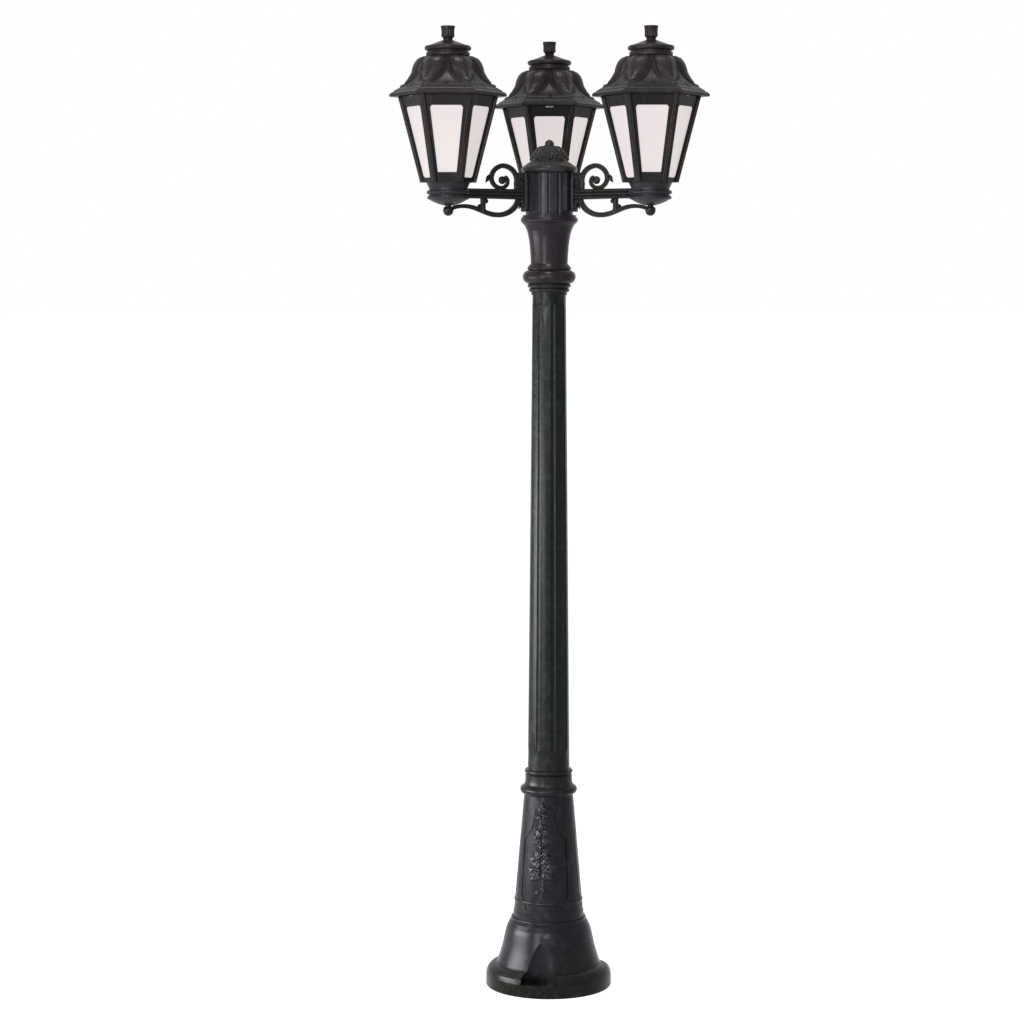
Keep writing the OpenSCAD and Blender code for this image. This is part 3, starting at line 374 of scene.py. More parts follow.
def hump(x, middle, width):
    """A bell curve one high: e to the minus square of the distance in widths."""
    return np.exp(-((x - middle) / width) ** 2)


def curve(*corners, n=12):
    """Points of the Bezier curve over these corners: Bernstein weights times corners."""
    t = np.linspace(0, 1, n)[:, None]
    order = len(corners) - 1
    return sum(math.comb(order, i) * t ** i * (1 - t) ** (order - i) * np.array(c, float)
               for i, c in enumerate(corners))


def finer(outline, gap):
    """The same outline with points no further apart than gap, spaced evenly on each side."""
    outline = np.asarray(outline, float)
    parts = []
    for a, b in zip(outline[:-1], outline[1:]):
        count = int(np.ceil(np.linalg.norm(b - a) / gap))
        parts.append(a + (b - a) * np.linspace(0, 1, count, endpoint=False)[:, None])
    return np.concatenate(parts + [outline[-1:]])


def turned(outline, columns=96):
    """Sheet of a turned form: radius times cosine and sine of the turn, height kept."""
    a = np.linspace(0, 2 * np.pi, columns, endpoint=False)
    r, z = outline[:, :1], outline[:, 1:]
    points = np.stack([r * np.cos(a), r * np.sin(a), z + 0 * a], axis=-1)
    return points * MM, quads(len(outline), columns)


LAMPS = (1, 2, 3)
ARM_TURN = {1: math.radians(210), 2: math.radians(330), 3: math.radians(90)}


def at_lamp(sheet, k, reach=ARM_REACH):
    """A sheet made round the Z axis, carried out to lantern k: moved along X, then turned."""
    points, faces = sheet
    c, s = math.cos(ARM_TURN[k]), math.sin(ARM_TURN[k])
    x, y, z = points[..., 0] + reach * MM, points[..., 1], points[..., 2]
    return np.stack([c * x - s * y, s * x + c * y, z], axis=-1), faces


print("surface tools ready")

# %% [markdown]
# ## Lantern roofs
# The roof is a six-sided bell: a hollow sweep up from the eave, then a round shoulder under the
# neck ring. Six broad tongues lie over its hips, each with a raised rim and a swelling face, and
# the valleys between them end in pointed arches. The whole roof is one closed outline carried
# round the axis. Its radius follows the hexagon, and the relief is added square to the side.

# %% The roof's outline
HEX = math.cos(math.radians(30))
EAVE = 114.0 * HEX
SHOULDER = EAVE * 0.613
ROOF_H = 77.0
ROOF_Z = low("roof_1")
NECK_R = 42.5
SHELL = 3.5
STUD_BORE = 3.3


def roof_outline():
    """Closed outline as rows of (flat distance, height, share of hexagon, share of relief)."""
    middle = np.array([SHOULDER, ROOF_H * 0.61])
    crown = np.array([NECK_R - 6.5, ROOF_H])
    sweep = curve((EAVE, 5), (EAVE * 0.709, ROOF_H * 0.286), middle, n=64)
    shoulder = curve(middle, (EAVE * 0.567, ROOF_H), crown, n=48)
    side = np.concatenate([sweep, shoulder[1:]])
    inside = np.stack([np.minimum(side[:, 0] - SHELL, EAVE - 14), side[:, 1] - SHELL], 1)
    inside = inside[(inside[:, 1] > 0)][::6]
    ring = [(-3.6, 0.1), (-0.9, 0.4), (-0.3, 1.4), (0, 2.8), (0, 6.2), (-0.3, 7.4), (-1.1, 8.2),
            (-3.3, 8.5), (-3.5, 11), (-7, 11), (-7, 0)]
    ring = [(NECK_R + out, ROOF_H + up) for out, up in ring]
    ring += [(STUD_BORE, ROOF_H), (STUD_BORE, ROOF_H - SHELL)]
    lip = [(EAVE - 0.6, 0), (EAVE, 0.8)]

    def rows(points, hexagon, relief):
        return np.array([(out, up, hexagon, relief) for out, up in points], float)

    body = rows(side, 1, 1)
    body[:, 2] = 1 - step(body[:, 1], ROOF_H - 6, ROOF_H) * 0.85
    body[:, 3] = step(body[:, 1], 5, 7) * (1 - step(body[:, 1], ROOF_H - 2.5, ROOF_H))
    soffit = [(EAVE - 14, 0)]
    return np.concatenate([rows(lip, 1, 0), body, rows(ring, 0, 0),
                           rows(inside[::-1], 1, 0), rows(soffit, 1, 0)])


ROOF_ROWS = roof_outline()
print(len(ROOF_ROWS), "points round the roof's outline")

# %% [markdown]
# The relief is a height that depends on where a point lies. A tongue's edge is straight above
# and a blunt oval below, so how far a point lies inside it is one number. A step, a rim, a thin
# groove, a swelling and the furrow outside the edge are all functions of that number. Lines
# along the eave depend on height alone, and the bud over each face on the distance off its middle.

# %% The roof's relief
TONGUE_TURN = math.radians(22.5)
TONGUE_TIP = ROOF_H * 0.25
TONGUE_FULL = ROOF_H * 0.88


def tongue_inside(up, off_hip):
    """Distance inside a tongue's edge: half width minus the offset, a blunt oval at the foot."""
    half = SHOULDER / HEX * math.sin(TONGUE_TURN)
    narrow = half * (1 - 0.12 * step(up, TONGUE_FULL, ROOF_H))
    below = np.clip((TONGUE_FULL - up) / (TONGUE_FULL - TONGUE_TIP), 0, None)
    return narrow * (1 - np.sqrt((off_hip / narrow) ** 2 + below ** 2.8))


def roof_relief(up, off_middle, off_hip):
    """Height in mm above the plain side, from the place up the roof and across a face."""
    edge = tongue_inside(up, off_hip)
    on_tongue = step(edge, -0.4, 1.0)
    rim = 1.2 * hump(edge, 1.7, 1.1) - 1.9 * hump(edge, 4.2, 1.1)
    swell = 2.0 * step(edge, 4.6, 13) * (0.35 + 0.65 * step(off_hip, 0.5, 7))
    crease = -0.55 * hump(off_hip, 0, 0.8) * step(up, 30, 36)
    crease = crease + 0.5 * hump(off_hip, 2.2, 1.0) * step(up, 30, 38)
    valley_line = 0.5 * hump(off_middle, 0, 0.8) * step(up, 50, 58)
    band = 0.8 * (1 - step(up, 20.2, 21.2)) + 0.6 * hump(up, 19.6, 0.9) - 0.8 * hump(up, 17.6, 0.8)
    band += 0.8 * hump(up, 11.4, 0.9) - 0.6 * hump(up, 9.6, 0.7)
    bud = 1.6 * hump(off_middle, 0, 2.2) * hump(up, 20, 4.5) * (1 - 0.6 * hump(off_middle, 0, 0.5))
    bud += hump(np.abs(off_middle), 3.6, 1.4) * hump(up, 16, 2.4)
    furrow = -1.4 * hump(edge, -1.5, 1.3) * step(up, 22, 26)
    tongue = on_tongue * (0.75 + rim + swell + crease)
    return tongue + (1 - on_tongue) * valley_line + furrow + band + bud


def roof_sheet(columns=432):
    """Roof in its own frame: outline radius over cosine of the turn off the face, plus relief."""
    flat, up, hexagon, share = (ROOF_ROWS[:, i:i + 1] for i in range(4))
    a = np.linspace(0, 2 * np.pi, columns, endpoint=False)[None, :]
    off = (a + np.pi / 6) % (np.pi / 3) - np.pi / 6
    hip = np.pi / 6 - np.abs(off)
    corner = 1 / np.cos(off)
    radius = flat * (1 + (corner - 1) * hexagon)
    relief = share * roof_relief(up, np.abs(flat * np.tan(off)), radius * np.sin(hip))
    run, rise = np.gradient(flat[:, 0]), np.gradient(up[:, 0])
    size = np.hypot(run, rise) + 1e-9
    out, lift = (rise / size)[:, None], (-run / size)[:, None]
    radius = radius + relief * out
    height = up + relief * lift
    points = np.stack([radius * np.cos(a), radius * np.sin(a), height + ROOF_Z], axis=-1)
    return points * MM, quads(len(flat), columns, close_rows=True)


for k in LAMPS:
    body = f"roof_{k}"
    piece(f"roof_shell_{k}", [at_lamp(roof_sheet(), k)], body, "lantern_resin", [f"roof_{k}"])

# %% [markdown]
# ## Discs and finials
# Both are turned forms. A disc has a round rim and a hollow top that climbs to the finial. The
# finial is a cup with ten flutes, a beaded neck and a flared, slightly hollow top, so its radius
# also changes with the turn: the flutes are a rounded wave that fades out at the top and foot.
# The cup ends a little lower than the CAD finial, as in the photograph.

# %% Discs and finials
DISC_Z = low("roof_disc_1")
DISC_H = high("roof_disc_1") - DISC_Z
FINIAL_Z = low("finial_1")
FINIAL_H = high("finial_1") - FINIAL_Z
DISC_R = 45.4
DISC_COLLAR = 9.5
CUP_DROP = 4.5
FLUTES = 10


def disc_outline():
    """Outline of the disc from its bore round the rim and back up to its collar."""
    rim = np.radians(np.linspace(-90, 90, 12))
    edge = np.column_stack([DISC_R - 5 + 5 * np.cos(rim), 5 + 5 * np.sin(rim)])
    inner = DISC_R - 6.5
    hollow = (inner * 0.45 + DISC_COLLAR * 0.55, 4.4 + DISC_H * 0.56)
    top = curve((inner, 9.6), hollow, (DISC_COLLAR, DISC_H - 0.3), n=20)
    collar = [(DISC_COLLAR, DISC_H), (STUD_BORE, DISC_H), (STUD_BORE, 0)]
    return np.concatenate([[(STUD_BORE, 0)], edge, [(inner + 0.6, 9.2)], top, collar])


def finial_sheet(columns=160):
    """Cup whose radius loses a rounded wave of ten flutes between its foot and its flare."""
    neck = [(3.06, 20), (3.06, 0), (8.8, 0), (8.8, 0.8), (9.4, 1.1), (10, 1.9), (10, 2.7),
            (9.2, 3.3), (9.0, 3.7)]
    cup = curve((9.0, 3.9), (13.0, 4.1), (12.9, 8.5), n=10)
    top = FINIAL_H - CUP_DROP
    flare = curve((12.9, 9.0), (12.6, top - 11), (12.7, top - 6), (14.0, top - 2), n=18)
    rim = [(14.0, top - 0.8), (13.4, top), (12.2, top - 0.2)]
    hollow = curve((11.5, top - 0.6), (8, top - 2.8), (0, top - 3), n=8)
    outline = np.concatenate([[(0, 20)], neck, cup, flare, rim, hollow])
    a = np.linspace(0, 2 * np.pi, columns, endpoint=False)[None, :]
    r, z = outline[:, :1], outline[:, 1:]
    on_side = (r > 11) * step(z, 4.5, 8.5) * (1 - step(z, top - 7, top - 3)) * (z < top - 2)
    r = r - on_side * 1.3 * (1 - np.abs(np.sin(FLUTES / 2 * a)) ** 0.7)
    points = np.stack([r * np.cos(a), r * np.sin(a), z + FINIAL_Z + 0 * a], axis=-1)
    return points * MM, quads(len(outline), columns)


disc_sheet = turned(finer(disc_outline() + [0, DISC_Z], 3), 128)
for k in LAMPS:
    piece(f"roof_cap_{k}", [at_lamp(disc_sheet, k)], f"roof_{k}", "lantern_resin",
          [f"roof_disc_{k}"])
    piece(f"finial_cup_{k}", [at_lamp(finial_sheet(), k)], f"finial_{k}", "lantern_resin",
          [f"finial_{k}"])

# %% [markdown]
# ## Lantern cages
# A cage has six leaning walls, each drawn flat: x across, y up the slope, then depth outwards.
# Twelve points of the wall's edge and twelve of its window make a ring, front and back. The
# window starts and ends lower than on the CAD cage and has smaller cut corners, as in the
# photograph, and a sill bar crosses the foot of the one window that faces the front. Ridged
# posts cover the corners, and two walls are notched for the roof bridge. The cage is drawn once,
# and its sheets are carried out to each lantern.

# %% The cages
CAGE_Z = low("lantern_frame_1")
CAGE_H = high("lantern_frame_1") - CAGE_Z
CAGE_R, CAGE_TOP_R, WALL = 52.0, 94.5, 3.0
NOTCHED = (0, 3)
LEAN = math.atan2((CAGE_TOP_R - CAGE_R) * HEX, CAGE_H)
SLANT = CAGE_H / math.cos(LEAN)
SILL, HEAD = 8.5 / math.cos(LEAN), SLANT - 20.6 / math.cos(LEAN)
BRIDGE = [(b - a) / MM for a, b in zip(*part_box("roof_bridge_3"))]


def on_wall(points, depth, side):
    """Places of flat points on wall number side of a cage, this deep outwards, in metres."""
    x, y = np.asarray(points, float).T
    out = CAGE_R * HEX + y * math.sin(LEAN) + depth * math.cos(LEAN)
    a = math.radians(60 * side)
    return np.stack([out * math.cos(a) - x * math.sin(a), out * math.sin(a) + x * math.cos(a),
                     CAGE_Z + y * math.cos(LEAN) - depth * math.sin(LEAN)], -1) * MM


def cage_wall(side):
    """One wall as a closed ring round its window: pairs of a point of its edge and its window."""
    half, deep = (BRIDGE[0] / 2 + 0.4, BRIDGE[2] + 0.5) if side in NOTCHED else (4.0, 0.0)
    foot, top = (CAGE_R / 2, 0), (CAGE_TOP_R / 2, SLANT)
    right = [(foot, (13.6, SILL)), (foot, (17.5, SILL + 4.2)),
             (top, (31.4, HEAD - 4.5)), (top, (28.2, HEAD)),
             ((half, SLANT), (half, HEAD)), ((half, SLANT - deep), (half - 3, HEAD))]
    pairs = np.array(right + [[(-x, y) for x, y in pair] for pair in right[::-1]], float)
    edge, window = pairs[:, 0], pairs[:, 1]
    rows = [on_wall(points, depth, side) for points, depth in (
        (edge, 0), (window, 0), (window, -WALL), (edge, -WALL))]
    return np.stack(rows), quads(4, 12, close_rows=True)


def slab(half, bottom, top, side, out=0.5):
    """Small raised bar across a wall, out mm proud of it and 1 mm deep in it."""
    corners = np.array([(-half, bottom), (half, bottom), (half, top), (-half, top)])
    middle = np.repeat(corners.mean(axis=0)[None], 4, axis=0)
    rows = [on_wall(points, depth, side) for points, depth in (
        (middle, -1), (corners, -1), (corners, out), (middle, out))]
    return np.stack(rows), quads(4, 4)


def corner_post(side):
    """Post over a corner: a flat crest between two grooves and two ridges, with level ends."""
    half = [(2.6, 1.95), (1.7, 2.73), (1.7, 3.64), (2.2, 4.42), (1.9, 5.59), (1.0, 6.5),
            (-WALL, 6.5)]
    section = np.array([(out, -y) for out, y in half[::-1]] + half)
    section[:, 0] *= 1 / math.cos(math.atan((CAGE_TOP_R - CAGE_R) / CAGE_H))
    a = math.radians(60 * side + 30)
    rows = []
    for share, scale in ((0, 0), (0, 1), (0.33, 1), (0.67, 1), (1, 1), (1, 0)):
        out, across = (section * scale + section.mean(axis=0) * (1 - scale)).T
        out = out + CAGE_R + (CAGE_TOP_R - CAGE_R) * share
        rows.append(np.stack([out * math.cos(a) - across * math.sin(a),
                              out * math.sin(a) + across * math.cos(a),
                              CAGE_Z + CAGE_H * share + 0 * out], -1) * MM)
    return np.stack(rows), quads(len(rows), len(section))


def cage_floor(columns=72):
    """Six-sided plate with a round hole for the lampholder's nipple."""
    hole, thick = 5.3, 4.0
    a = np.linspace(0, 2 * np.pi, columns, endpoint=False)[None, :]
    hexagon = (CAGE_R - 1) * HEX / np.cos((a + np.pi / 6) % (np.pi / 3) - np.pi / 6)
    r = np.concatenate([hole + 0 * a, hexagon, hexagon, hole + 0 * a])
    z = CAGE_Z + np.array([0, 0, thick, thick])[:, None] + 0 * a
    return np.stack([r * np.cos(a), r * np.sin(a), z], -1) * MM, quads(4, columns, close_rows=True)


cage = [cage_floor()]
for side in range(6):
    cage += [cage_wall(side), corner_post(side), slab(14.5, HEAD + 7.4, HEAD + 8.8, side)]
for k in LAMPS:
    front = round((270 - math.degrees(ARM_TURN[k])) / 60) % 6
    sheets = cage + [slab(19.2, SILL - 5, 18.6, front, 0.3), slab(13.5, 7.0, 13.0, front, 0.8)]
    piece(f"cage_{k}", [at_lamp(sheet, k) for sheet in sheets], "post", "lantern_resin",
          [f"lantern_frame_{k}"], sharp=25)

# %% [markdown]
# ## Scroll arms
# Each arm carries a C-scroll above its bar and a longer belly scroll below. A band is a section
# carried along a path: at each point the section stands square to the path and shrinks towards
# the end. Its section has two raised edges with a shallow channel between, as cast scrolls have.

# %% Bands along a path
BAR_Z = low("hub_drum") + 78.0
EYE = np.array([107.0, 27.0])
SCROLL_R = 28.4
SCROLL_KEEPS = 0.72
CROWN, TURNS = 1.15, 4.6
STRETCH = 1.155
BELLY_X, BELLY_R = 116.3, 40.9


def band(path, half, depth, sides=28):
    """Band along a path: section angles f give (half cos f, depth sin f), with hollowed sides."""
    half, depth = half[:, None], depth[:, None]
    along = np.gradient(path, axis=0)
    along /= np.linalg.norm(along, axis=1, keepdims=True)
    f = np.linspace(0, 2 * np.pi, sides, endpoint=False)[None, :]
    cos, sin = np.cos(f), np.sin(f)
    out = np.sign(cos) * np.abs(cos) ** 0.75 * (1 - 0.16 * hump(sin, 0, 0.35))
    side = np.sign(sin) * np.abs(sin) ** 0.75 * (1 - 0.16 * hump(cos, 0, 0.3))
    x = path[:, :1] - half * out * along[:, 1:]
    z = path[:, 1:] + half * out * along[:, :1]
    return np.stack([x, depth * side, z + BAR_Z], axis=-1) * MM


def rounded_ends(path, half, depth):
    """Band whose ends close in a round nose: the section shrinks over five short steps."""
    reach = np.linspace(1, 0, 6)[:-1]
    nose = np.maximum(np.sqrt(1 - reach ** 2), 1e-4)
    first, last = path[0] - path[1], path[-1] - path[-2]
    first, last = first / np.linalg.norm(first), last / np.linalg.norm(last)
    front = path[0] + first * (half[0] * reach)[:, None]
    back = path[-1] + last * (half[-1] * reach[::-1])[:, None]
    widths = np.concatenate([half[0] * nose, half, half[-1] * nose[::-1]])
    depths = np.concatenate([depth[0] * nose, depth, depth[-1] * nose[::-1]])
    points = band(np.concatenate([front, path, back]), widths, depths)
    caps = np.repeat(points[[0, -1]].mean(axis=1, keepdims=True), points.shape[1], axis=1)
    points = np.concatenate([caps[:1], points, caps[1:]])
    return points, quads(points.shape[0], points.shape[1])


def upper_scroll():
    """Spiral: radius held over the crown, then times 0.72 for each quarter turn to the eye."""
    q = np.linspace(0, TURNS, 120)
    r = SCROLL_R * SCROLL_KEEPS ** np.clip(q - CROWN, 0, None)
    a = np.radians(90 + 90 * (CROWN - q))
    return EYE + np.stack([r * STRETCH * np.cos(a), r * np.sin(a)], axis=1), q / TURNS


def lower_scroll():
    """Belly of an oval, then two Bezier curves that run out under the bowl to the ball."""
    a = np.radians(np.linspace(196, 268, 30))
    belly = np.stack([BELLY_X + BELLY_R * STRETCH * np.cos(a), BELLY_R * np.sin(a)], axis=1)
    end = np.array([BELLY_X + 4, -BELLY_R])
    mid, tail = np.array([ARM_REACH - 39, -25.0]), np.array([ARM_REACH - 5, -31.5])
    run = curve(end, end + [22, 0], mid - [25, 1], mid, n=34)
    out = curve(mid, mid + [14, 0.6], tail + [-9, 5], tail, n=16)
    return np.concatenate([belly, run[1:], out[1:]])


steps = np.linalg.norm(np.diff(upper_scroll()[0], axis=0), axis=1)
print("upper scroll is", round(float(steps.sum())), "mm long")

# %% [markdown]
# A plate or web is easier to think of as a stack of level sections. Each section is a rounded
# rectangle, and its two ends and its half depth change from one to the next. The end sections
# shrink to a point, so the sheet is closed like a pillow. A leaf is a lens with a lobed edge.

# %% Stacked sections and leaves


def stacked(level, near, far, depth, power, sides=36):
    """Closed stack in the arm's plane: ellipse of that power from near to far at each level."""
    f = np.linspace(0, 2 * np.pi, sides, endpoint=False)[None, :]
    along = np.sign(np.cos(f)) * np.abs(np.cos(f)) ** power
    side = np.sign(np.sin(f)) * np.abs(np.sin(f)) ** power
    middle, half = (near + far) / 2, (far - near) / 2
    rows = [0, *range(len(level)), len(level) - 1]
    scale = np.ones(len(rows))
    scale[[0, -1]] = 0
    x = middle[rows][:, None] + (half[rows] * scale)[:, None] * along
    y = (depth[rows] * scale)[:, None] * side
    z = level[rows][:, None] + 0 * f
    return np.stack([x, y, z + BAR_Z], axis=-1) * MM, quads(len(rows), sides)


def leaf(base, tip, across, width, rise, lobes=3, n=22, sides=20):
    """Closed leaf: width is a lobed sine along it, height a sine round each of its sections."""
    base, tip, across = (np.asarray(v, float) for v in (base, tip, across))
    along = tip - base
    length = np.linalg.norm(along)
    along = along / length
    across = across - along * (across @ along)
    across /= np.linalg.norm(across)
    up = np.cross(along, across)
    u = np.linspace(0, 1, n)[:, None]
    f = np.linspace(0, 2 * np.pi, sides, endpoint=False)[None, :]
    belly = np.sin(np.pi * u ** 0.5)
    full = belly ** 0.8 * (1 + 0.20 * np.cos(2 * np.pi * lobes * u + np.pi))
    v = np.cos(f)
    top = np.where(np.sin(f) > 0, 1.0, 0.35)
    midrib = 0.35 * hump(v, 0, 0.16) * (np.sin(f) > 0)
    veins = 0.16 * np.cos(9 * np.abs(v) + 14 * u)
    height = rise * np.sin(f) * top * belly ** 0.5 * (1 - midrib + veins)
    points = (base + along * (u * length)[..., None] + across * (v * width / 2 * full)[..., None]
              + up * height[..., None])
    return points, quads(n, sides)


def ball(centre, radii, ribs=0, depth=0.0, columns=40, rows=20):
    """Closed ellipsoid whose radius swells by a cosine with that many ribs round its Z axis."""
    s = np.linspace(0, np.pi, rows)[:, None]
    a = np.linspace(0, 2 * np.pi, columns, endpoint=False)[None, :]
    grow = 1 + depth * np.cos(ribs * a) * np.sin(s)
    points = [np.sin(s) * np.cos(a) * grow, np.sin(s) * np.sin(a) * grow, np.cos(s) + 0 * a]
    return np.stack(points, -1) * radii + np.asarray(centre, float), quads(rows, columns)


def along_x(outline, columns=40):
    """A turned form laid down: its height runs along +X at the bar's level."""
    points, faces = turned(np.asarray(outline, float), columns)
    return np.stack([points[..., 2], points[..., 0], points[..., 1] + BAR_Z * MM], -1), faces


def in_mm(sheet, up=0.0):
    """A sheet given in millimetres, lifted by up."""
    points, faces = sheet
    return (points + [0, 0, up]) * MM, faces


print("a leaf has", leaf((0, 0, 0), (1, 0, 0), (0, 1, 0), 1, 1)[0].size // 3, "points")

# %% [markdown]
# The bar has three rounded ribs on each side with two grooves between them, and it is a little
# taller at the hub. Plate, web and stub are stacks. Spigot, spout and pin are plain turned ends
# that sit inside hub and bowl.

# %% Bar, plates and ends
BAR_END = ARM_REACH - 40.4
PLATE_X = 52.3
BAR_HALF = 10
RIBS, RIB_HALF, RIB_OUT = (-6.67, 0, 6.67), 2.86, 2.4


def bar_sheet():
    """Bar: half width is six plus the top of the nearest rib's oval, at each height."""
    t = np.linspace(-1, 1, 31)
    wide = 6 + sum(np.sqrt(np.clip(1 - ((BAR_HALF * t - rib) / RIB_HALF) ** 2, 0, 1)) * RIB_OUT
                   for rib in RIBS)
    wide = wide * (1 - 0.25 * np.abs(t) ** 12)
    y = np.concatenate([wide, -wide[::-1]])
    z = np.concatenate([BAR_HALF * t, BAR_HALF * t[::-1]])
    x = np.array([PLATE_X + 2, PLATE_X + 2, 66, 80, 110, 150, BAR_END, BAR_END])
    tall = np.interp(x, [54, 80, 150], [1.07, 1.03, 0.98])
    scale = np.ones(len(x))
    scale[[0, -1]] = 0
    x, scale, tall = x[:, None], scale[:, None], tall[:, None]
    points = np.stack([x + 0 * y, y * scale, z * (tall * scale) + BAR_Z], -1)
    return points * MM, quads(len(x), len(y))


def arm_plates():
    """Bracket plate on the hub, web behind the upper scroll and stub down to the lower one."""
    z = np.linspace(-34, 41, 40)
    shield = 1 - 0.24 * np.abs((z - 3) / 38) ** 3
    plate = stacked(z, PLATE_X + 0 * z, PLATE_X + 8 + 1.3 * shield, 12 * shield, 0.6)
    z = np.linspace(0, 43, 24)
    edge = np.interp(z, [0, 22, 43], [78.3, 80.3, 70.3])
    web = stacked(z, PLATE_X + 2 + 0 * z, edge, 4.8 + 0 * z, 0.45)
    z = np.linspace(-38, -8, 20)
    stub = stacked(z, 145.9 + 0.05 * z, 156.1 + 0.05 * z, 5.2 + 0.3 * np.sin(z * 0.7), 0.9)
    return [plate, web, stub]


def arm_ends():
    """Turned ends: ball with the pin through the bowl, spigot in the hub, spout in the bowl."""
    knob = finer([(0, -9.4), *curve((0, -9.4), (12.4, -9.4), (12.6, 9.0), (6, 8.2), n=16),
                  (6, 10.9), (3.9, 10.9), (3.9, 23), (0, 23)], 4) + [0, BAR_Z - 35]
    points, faces = turned(knob, 48)
    spigot = [(4.5, 25.7), (8, 25.7), (8, 60), (4.5, 60), (4.5, 25.7)]
    spout = [(r, ARM_REACH + x) for r, x in (
        (4.5, -48.2), (6.1, -48.2), (6.1, -33.4), (4.5, -33.4), (4.5, -48.2))]
    return [(points + [ARM_REACH * MM, 0, 0], faces), along_x(spigot), along_x(spout)]


print("the bar ends", round(BAR_END - PLATE_X), "mm from the bracket plate")

# %% [markdown]
# Small cast leaves sit on the stub and at both sides of the bracket plate, and one curls over
# the upper scroll's crown. With them, an arm is complete. It is drawn along X at the hub and
# turned to each of its three directions.

# %% One arm


def arm_leaves():
    """Leaves and berries of the stub, the curl over the crown, and the plate's leaves."""
    sheets = [leaf((151, 0, -8), (140.5, 0, -18.5), (0, 1, 0), 12, 4.2),
              leaf((151, 0, -19), (161.5, 0, -27.5), (0, -1, 0), 10, 3.6),
              ball((145, 0, -14.4), (5.6, 5.4, 5.2), ribs=5, depth=0.14),
              ball((157, 0, -24.6), (4.6, 4.6, 4.4), ribs=5, depth=0.14),
              leaf((134, 0, 37), (144.8, 0, 20.6), (1, 0, 0.7), 9.0, 3.5, lobes=1)]
    for y in (-1, 1):
        for base, tip, width in (((61, 5 * y, 30), (70, 8 * y, 41), 10),
                                 ((62, 5 * y, 18), (73, 7 * y, 30), 9),
                                 ((60, 5 * y, -16), (66, 8 * y, -29), 10),
                                 ((61, 6 * y, 4), (71, 7.6 * y, 14), 8)):
            sheets.append(leaf(base, tip, (1, 0, -1), width, 2.6 * y))
    sheets.append(ball((EYE[0], 0, EYE[1]), (8.0, 5.6, 8.0)))
    return [in_mm(sheet, BAR_Z) for sheet in sheets]


def arm_sheets():
    """Every closed sheet of one arm, in the arm's own frame with X outwards."""
    path, share = upper_scroll()
    thick = 5.4 * (1 - 0.4 * np.clip(share - 0.2, 0, None))
    lower = lower_scroll()
    belly = 6 - 2 * np.linspace(0, 1, len(lower)) ** 1.5
    scrolls = [rounded_ends(path, thick, thick * 0.9), rounded_ends(lower, belly, belly * 0.9)]
    return [bar_sheet(), *scrolls, *arm_plates(), *arm_leaves(), *arm_ends()]


for k in LAMPS:
    sheets = [at_lamp(sheet, k, 0) for sheet in arm_sheets()]
    piece(f"scroll_arm_{k}", sheets, "post", "post_resin", [f"arm_{k}"])

# %% [markdown]
# ## Hub cap
# The cap is a turned form: a full round ring, a beaded shoulder, and a dome like a closed flower
# with a bud on top. Eight leaves hang down over the dome from the bud, with eight lesser ones
# between them, each with a midrib and slanting veins. The leaf relief is a height that depends
# on the turn and on how far down a point lies.

# %% The hub cap
SKIRT = 12.3
CAP_Z = low("hub_cap") + SKIRT
LEAVES = 8
DOME_TOP, DOME_H = 55.3, 32


def cap_outline():
    """Outline from inside the skirt, round the ring and shoulder, up the dome and over the bud."""
    ring = np.radians(np.linspace(-90, 78, 16))
    ring = np.column_stack([48.8 + 7 * np.cos(ring), 8 + 7 * np.sin(ring)])
    slope = curve((49.6, 15.2), (46.4, 16.0), (44.6, 18.6), (40.2, 21.6), n=10)
    dome = curve((38.2, 23), (34, 34), (27, 50), (9.5, 55.5), n=70)
    bud = np.radians(np.linspace(-14, 90, 18))
    bud = np.column_stack([9.2 * np.cos(bud), 57.4 + 9.0 * np.sin(bud)])
    inside = [(34, 10), (36.2, 8), (36.2, -12), (39.7, -12), (39.7, 0.6), (48.8, 0.9)]
    hollow = [(0, 47), (12, 46)]
    return np.concatenate([hollow, inside, ring[1:], slope, [(39.2, 22.2)], dome, bud[:-1],
                           [(0, 66.4)]])


def cap_sheet(columns=360):
    """Cap with relief on the dome: leaf edge, midrib and veins follow from turn and height."""
    outline = cap_outline()
    r, z = outline[:, :1], outline[:, 1:]
    a = np.linspace(0, 2 * np.pi, columns, endpoint=False)[None, :]
    down = np.clip((DOME_TOP - z) / DOME_H, 0, 1)
    dome = (z > 22.6) * (z < 55.4) * (r > 9)
    relief = 0
    for turn, tip, height in ((0, 0.97, 3.3), (0.5, 0.80, 2.2)):
        off = ((a * LEAVES / (2 * np.pi) + turn + 0.5) % 1 - 0.5) * 2
        wide = np.clip(1.05 * np.sin(np.pi * np.clip(down / tip, 0, 1) ** 0.75), 0, None) ** 0.6
        wide = wide * (1 + 0.16 * np.cos(30 * down))
        inside = step(wide - np.abs(off), -0.02, 0.22)
        veins = 0.8 * np.cos(34 * down - 9 * np.abs(off)) * step(np.abs(off), 0.08, 0.25)
        rib = 1.1 * hump(off, 0, 0.09)
        rise = height * (1 - 0.3 * off ** 2) + veins + rib
        relief = np.maximum(relief, inside * rise * (down < tip))
    fade = step(down, 0.0, 0.12)
    petals = (z > 55.7) * step(r, 1, 6) * 0.6 * (np.abs(np.cos(2.5 * a)) ** 0.6 - 0.8)
    radius = r + dome * relief * fade - dome * 1.8 + petals
    height = z + dome * relief * fade * 0.35
    beads = (z > 15.4) * (z < 21.4) * (r < 49.4) * (r > 40.5)
    radius = radius + beads * np.cos(LEAVES * 3 * a)
    points = np.stack([radius * np.cos(a), radius * np.sin(a), height + CAP_Z + 0 * a], -1)
    return points * MM, quads(len(outline), columns)


piece("flower_cap", [cap_sheet()], "hub_cap", "post_resin", ["hub_cap"])

